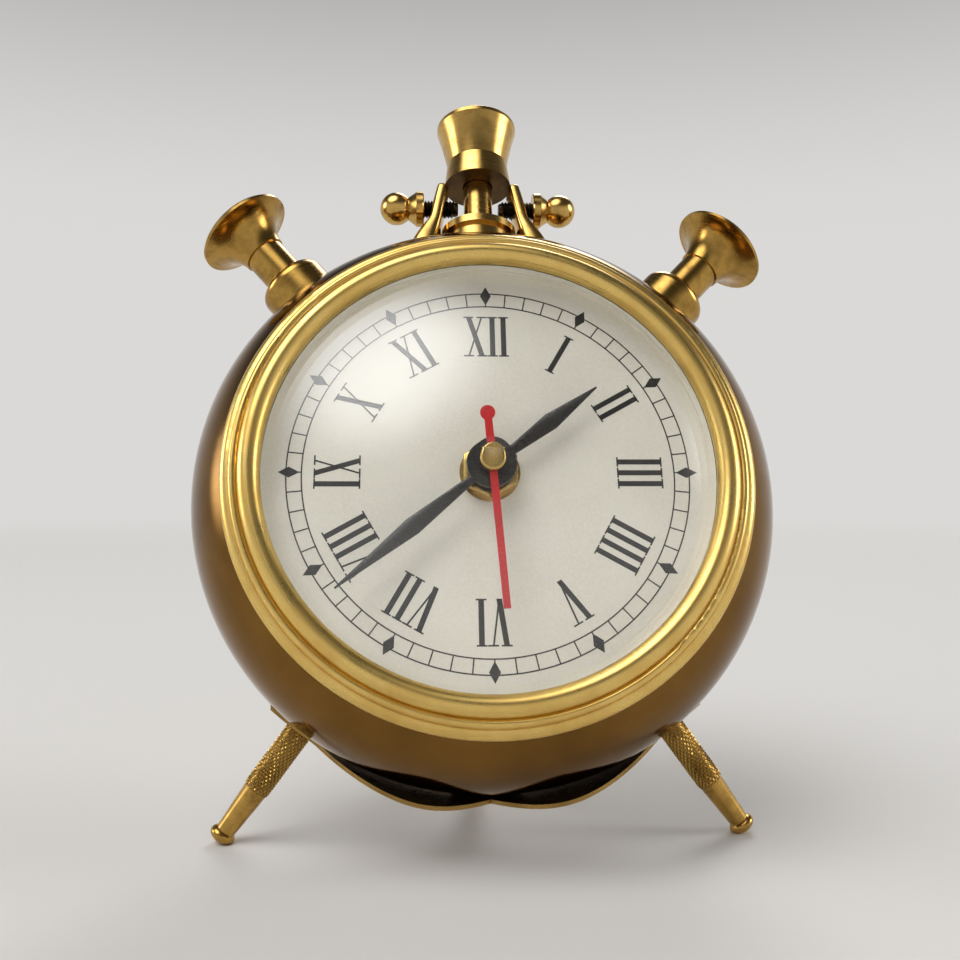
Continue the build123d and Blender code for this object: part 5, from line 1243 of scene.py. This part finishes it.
@dataclass
class Studio:
    """Pale floor, soft lamps and the camera at the photograph's place."""

    stance: Stance
    floor_size: float = 16.0
    floor_colour: str = "#D3D1CE"
    backdrop: str = "#DAD9D7"
    ceiling: str = "#4E4D4C"
    ceiling_span: tuple[float, float] = (0.2, 0.7)
    fade_span: tuple[float, float] = (0.35, 1.6)
    soft_span: tuple[float, float] = (0.1, 0.5)
    plaster_grain_mm: float = 1.5
    plaster_roughness: tuple[float, float] = (0.6, 0.8)
    plaster_gloss: float = 0.2
    lens_mm: float = 39.375
    sensor_mm: float = 36.0
    clip_start: float = 0.01
    roll: float = -1.2917
    pitch: float = -19.5344
    yaw: float = -4.0484
    reach_mm: tuple[float, float, float] = (1.8876, -1.3016, 203.976)

    def floor(self) -> None:
        """Lay a plain pale floor of sealed plaster under the clock."""
        bm = bmesh.new()
        bmesh.ops.create_grid(bm, x_segments=1, y_segments=1, size=self.floor_size / 2)
        floor = link_mesh(bm, "floor")
        floor.data.materials.append(self.plaster())

    def plaster(self) -> Material:
        """Make sealed pale plaster that takes the clock's shadow and runs into the backdrop further off.

        Returns:
            The material.
        """
        material, tree = new_material("sealed_pale_plaster")
        place = add_node(tree, "ShaderNodeTexCoord").outputs["Object"]
        grain = noise(tree, place, self.plaster_grain_mm, detail=2.0)
        rough = ramp(tree, grain, (0.0, 1.0), self.plaster_roughness)
        near = add_node(tree, "ShaderNodeBsdfPrincipled", {
            "Base Color": linear(self.floor_colour), "Roughness": rough,
            "Specular IOR Level": self.plaster_gloss,
        })
        far = add_node(tree, "ShaderNodeEmission", {"Color": linear(self.backdrop), "Strength": 1.0})
        distance = add_node(tree, "ShaderNodeVectorMath", {0: place}, operation="LENGTH").outputs["Value"]
        share = ramp(tree, distance, self.fade_span, blend="SMOOTHSTEP")
        ray = add_node(tree, "ShaderNodeLightPath")
        mirrored = calc(tree, "MAXIMUM", ray.outputs["Is Glossy Ray"], ray.outputs["Is Transmission Ray"])
        seen = calc(tree, "MAXIMUM", ray.outputs["Is Camera Ray"], mirrored)
        fade = calc(tree, "MULTIPLY", share, seen)
        both = add_node(tree, "ShaderNodeMixShader", {0: fade, 1: near.outputs[0], 2: far.outputs[0]})
        add_node(tree, "ShaderNodeOutputMaterial", {"Surface": both.outputs[0]})
        return material

    def world(self) -> None:
        """Light the room evenly: pale at the horizon, darker overhead and behind the lamps."""
        world = bpy.data.worlds.new("studio")
        bpy.context.scene.world = world
        world.use_nodes = True
        tree = world.node_tree
        tree.nodes.clear()
        way = add_node(tree, "ShaderNodeTexCoord").outputs["Generated"]
        rise = add_node(tree, "ShaderNodeSeparateXYZ", {0: way}).outputs["Z"]
        share = ramp(tree, rise, self.ceiling_span, blend="SMOOTHSTEP")
        tone = tint(tree, share, self.backdrop, self.ceiling)
        glow = add_node(tree, "ShaderNodeBackground", {"Color": tone, "Strength": 1.0})
        add_node(tree, "ShaderNodeOutputWorld", {"Surface": glow.outputs[0]})

    def soften(self, light: AreaLight) -> None:
        """Fade a softbox from its middle to its edges, as cloth over one bulb does.

        Args:
            light: the softbox's lamp.
        """
        light.use_nodes = True
        tree = light.node_tree
        tree.nodes.clear()
        spot = add_node(tree, "ShaderNodeNewGeometry").outputs["Parametric"]
        middle = (0.5, 0.5, 0)
        across = add_node(tree, "ShaderNodeVectorMath", {0: spot, 1: middle}, operation="SUBTRACT").outputs[0]
        level = (1, 1, 0)
        flat = add_node(tree, "ShaderNodeVectorMath", {0: across, 1: level}, operation="MULTIPLY").outputs[0]
        reach = add_node(tree, "ShaderNodeVectorMath", {0: flat}, operation="LENGTH").outputs["Value"]
        share = ramp(tree, reach, self.soft_span, (1.0, 0.0), "SMOOTHSTEP")
        glow = add_node(tree, "ShaderNodeEmission", {"Strength": share})
        add_node(tree, "ShaderNodeOutputLight", {"Surface": glow.outputs[0]})

    def lamp(self, name: str, place: Vector, size: float, power: float) -> None:
        """Hang one square softbox that faces the clock.

        Args:
            name: the lamp's name.
            place: where it hangs, in metres.
            size: its side, in metres.
            power: its power, in watts.
        """
        light = bpy.data.lights.new(name, "AREA")
        light.shape = "SQUARE"
        light.size = size
        light.energy = power
        self.soften(light)
        lamp = bpy.data.objects.new(name, light)
        lamp.location = place
        lamp.rotation_mode = "QUATERNION"
        lamp.rotation_quaternion = (self.stance.centre - place).to_track_quat("-Z", "Y")
        bpy.context.scene.collection.objects.link(lamp)

    def camera(self) -> None:
        """Set the camera where the photograph was taken from."""
        view = (
            Matrix.Rotation(radians(self.roll), 3, "Z")
            @ Matrix.Rotation(radians(self.pitch), 3, "X")
            @ Matrix.Rotation(radians(self.yaw), 3, "Y")
            @ Matrix(((1, 0, 0), (0, 0, -1), (0, 1, 0)))
        )
        spot = -(view.transposed() @ Vector(self.reach_mm))
        ways = [self.stance.vector(row[0], row[2], -row[1]) for row in view]
        turn = Matrix((ways[0], -ways[1], -ways[2])).transposed().to_4x4()
        data = bpy.data.cameras.new("camera")
        data.lens = self.lens_mm
        data.sensor_width = self.sensor_mm
        data.clip_start = self.clip_start
        camera = bpy.data.objects.new("camera", data)
        camera.matrix_world = Matrix.Translation(self.stance.point(spot.x, spot.z, -spot.y)) @ turn
        bpy.context.scene.collection.objects.link(camera)
        bpy.context.scene.camera = camera

    def build(self) -> None:
        """Set up the floor, the light and the camera."""
        self.floor()
        self.world()
        self.lamp("key_softbox", Vector((-0.85, -0.75, 2.2)), size=2.9, power=124.0)
        self.lamp("side_softbox", Vector((2.1, -0.2, 0.9)), size=1.6, power=54.0)
        self.lamp("left_softbox", Vector((-2.1, 0.1, 0.8)), size=1.4, power=36.0)
        self.lamp("back_softbox", Vector((0.5, 1.7, 1.8)), size=1.6, power=58.0)
        self.camera()
        bpy.context.scene.view_settings.view_transform = "Standard"


def main() -> None:
    """Dress the clock piece by piece and set up the studio."""
    logging.basicConfig(level=logging.INFO, format="%(message)s")
    hands = joint("second_spin")
    stance = Stance(hands.centre, -hands.along)
    shop = Workshop(stance)
    brass, others = shop.brass(), shop.others()
    shop.dress_nodes(brass, others)
    DialPrint(stance, others["ink"]).build()
    FoldedHand(stance, others["hand_lacquer"], "hour_hand", "hours", bearing=52.0, height=3.6, length=26.8,
               broad=15.0, hub_radius=4.4, bore=2.6, root_width=1.7).build()
    FoldedHand(stance, others["hand_lacquer"], "minute_hand", "minutes", bearing=230.3, height=5.0,
               length=37.5, broad=19.4, hub_radius=4.8, bore=1.6, root_width=1.5).build()
    DialNut(stance, brass["dial"]).build()
    for where in LegPlace:
        leg_at(where).build(brass[f"{where.word}_leg"])
    for word, side in (("left", -1), ("right", 1)):
        screw = joint(f"{word}_thumb_turn").centre
        ThreadedStud(word, side, screw, others["black_steel"]).build()
        TurnedKnob(word, side, screw, brass["thumb"]).build()
        FlaredEar(word, side, screw, brass["crown"], stance).build()
    Studio(stance).build()


if __name__ == "__main__":
    main()
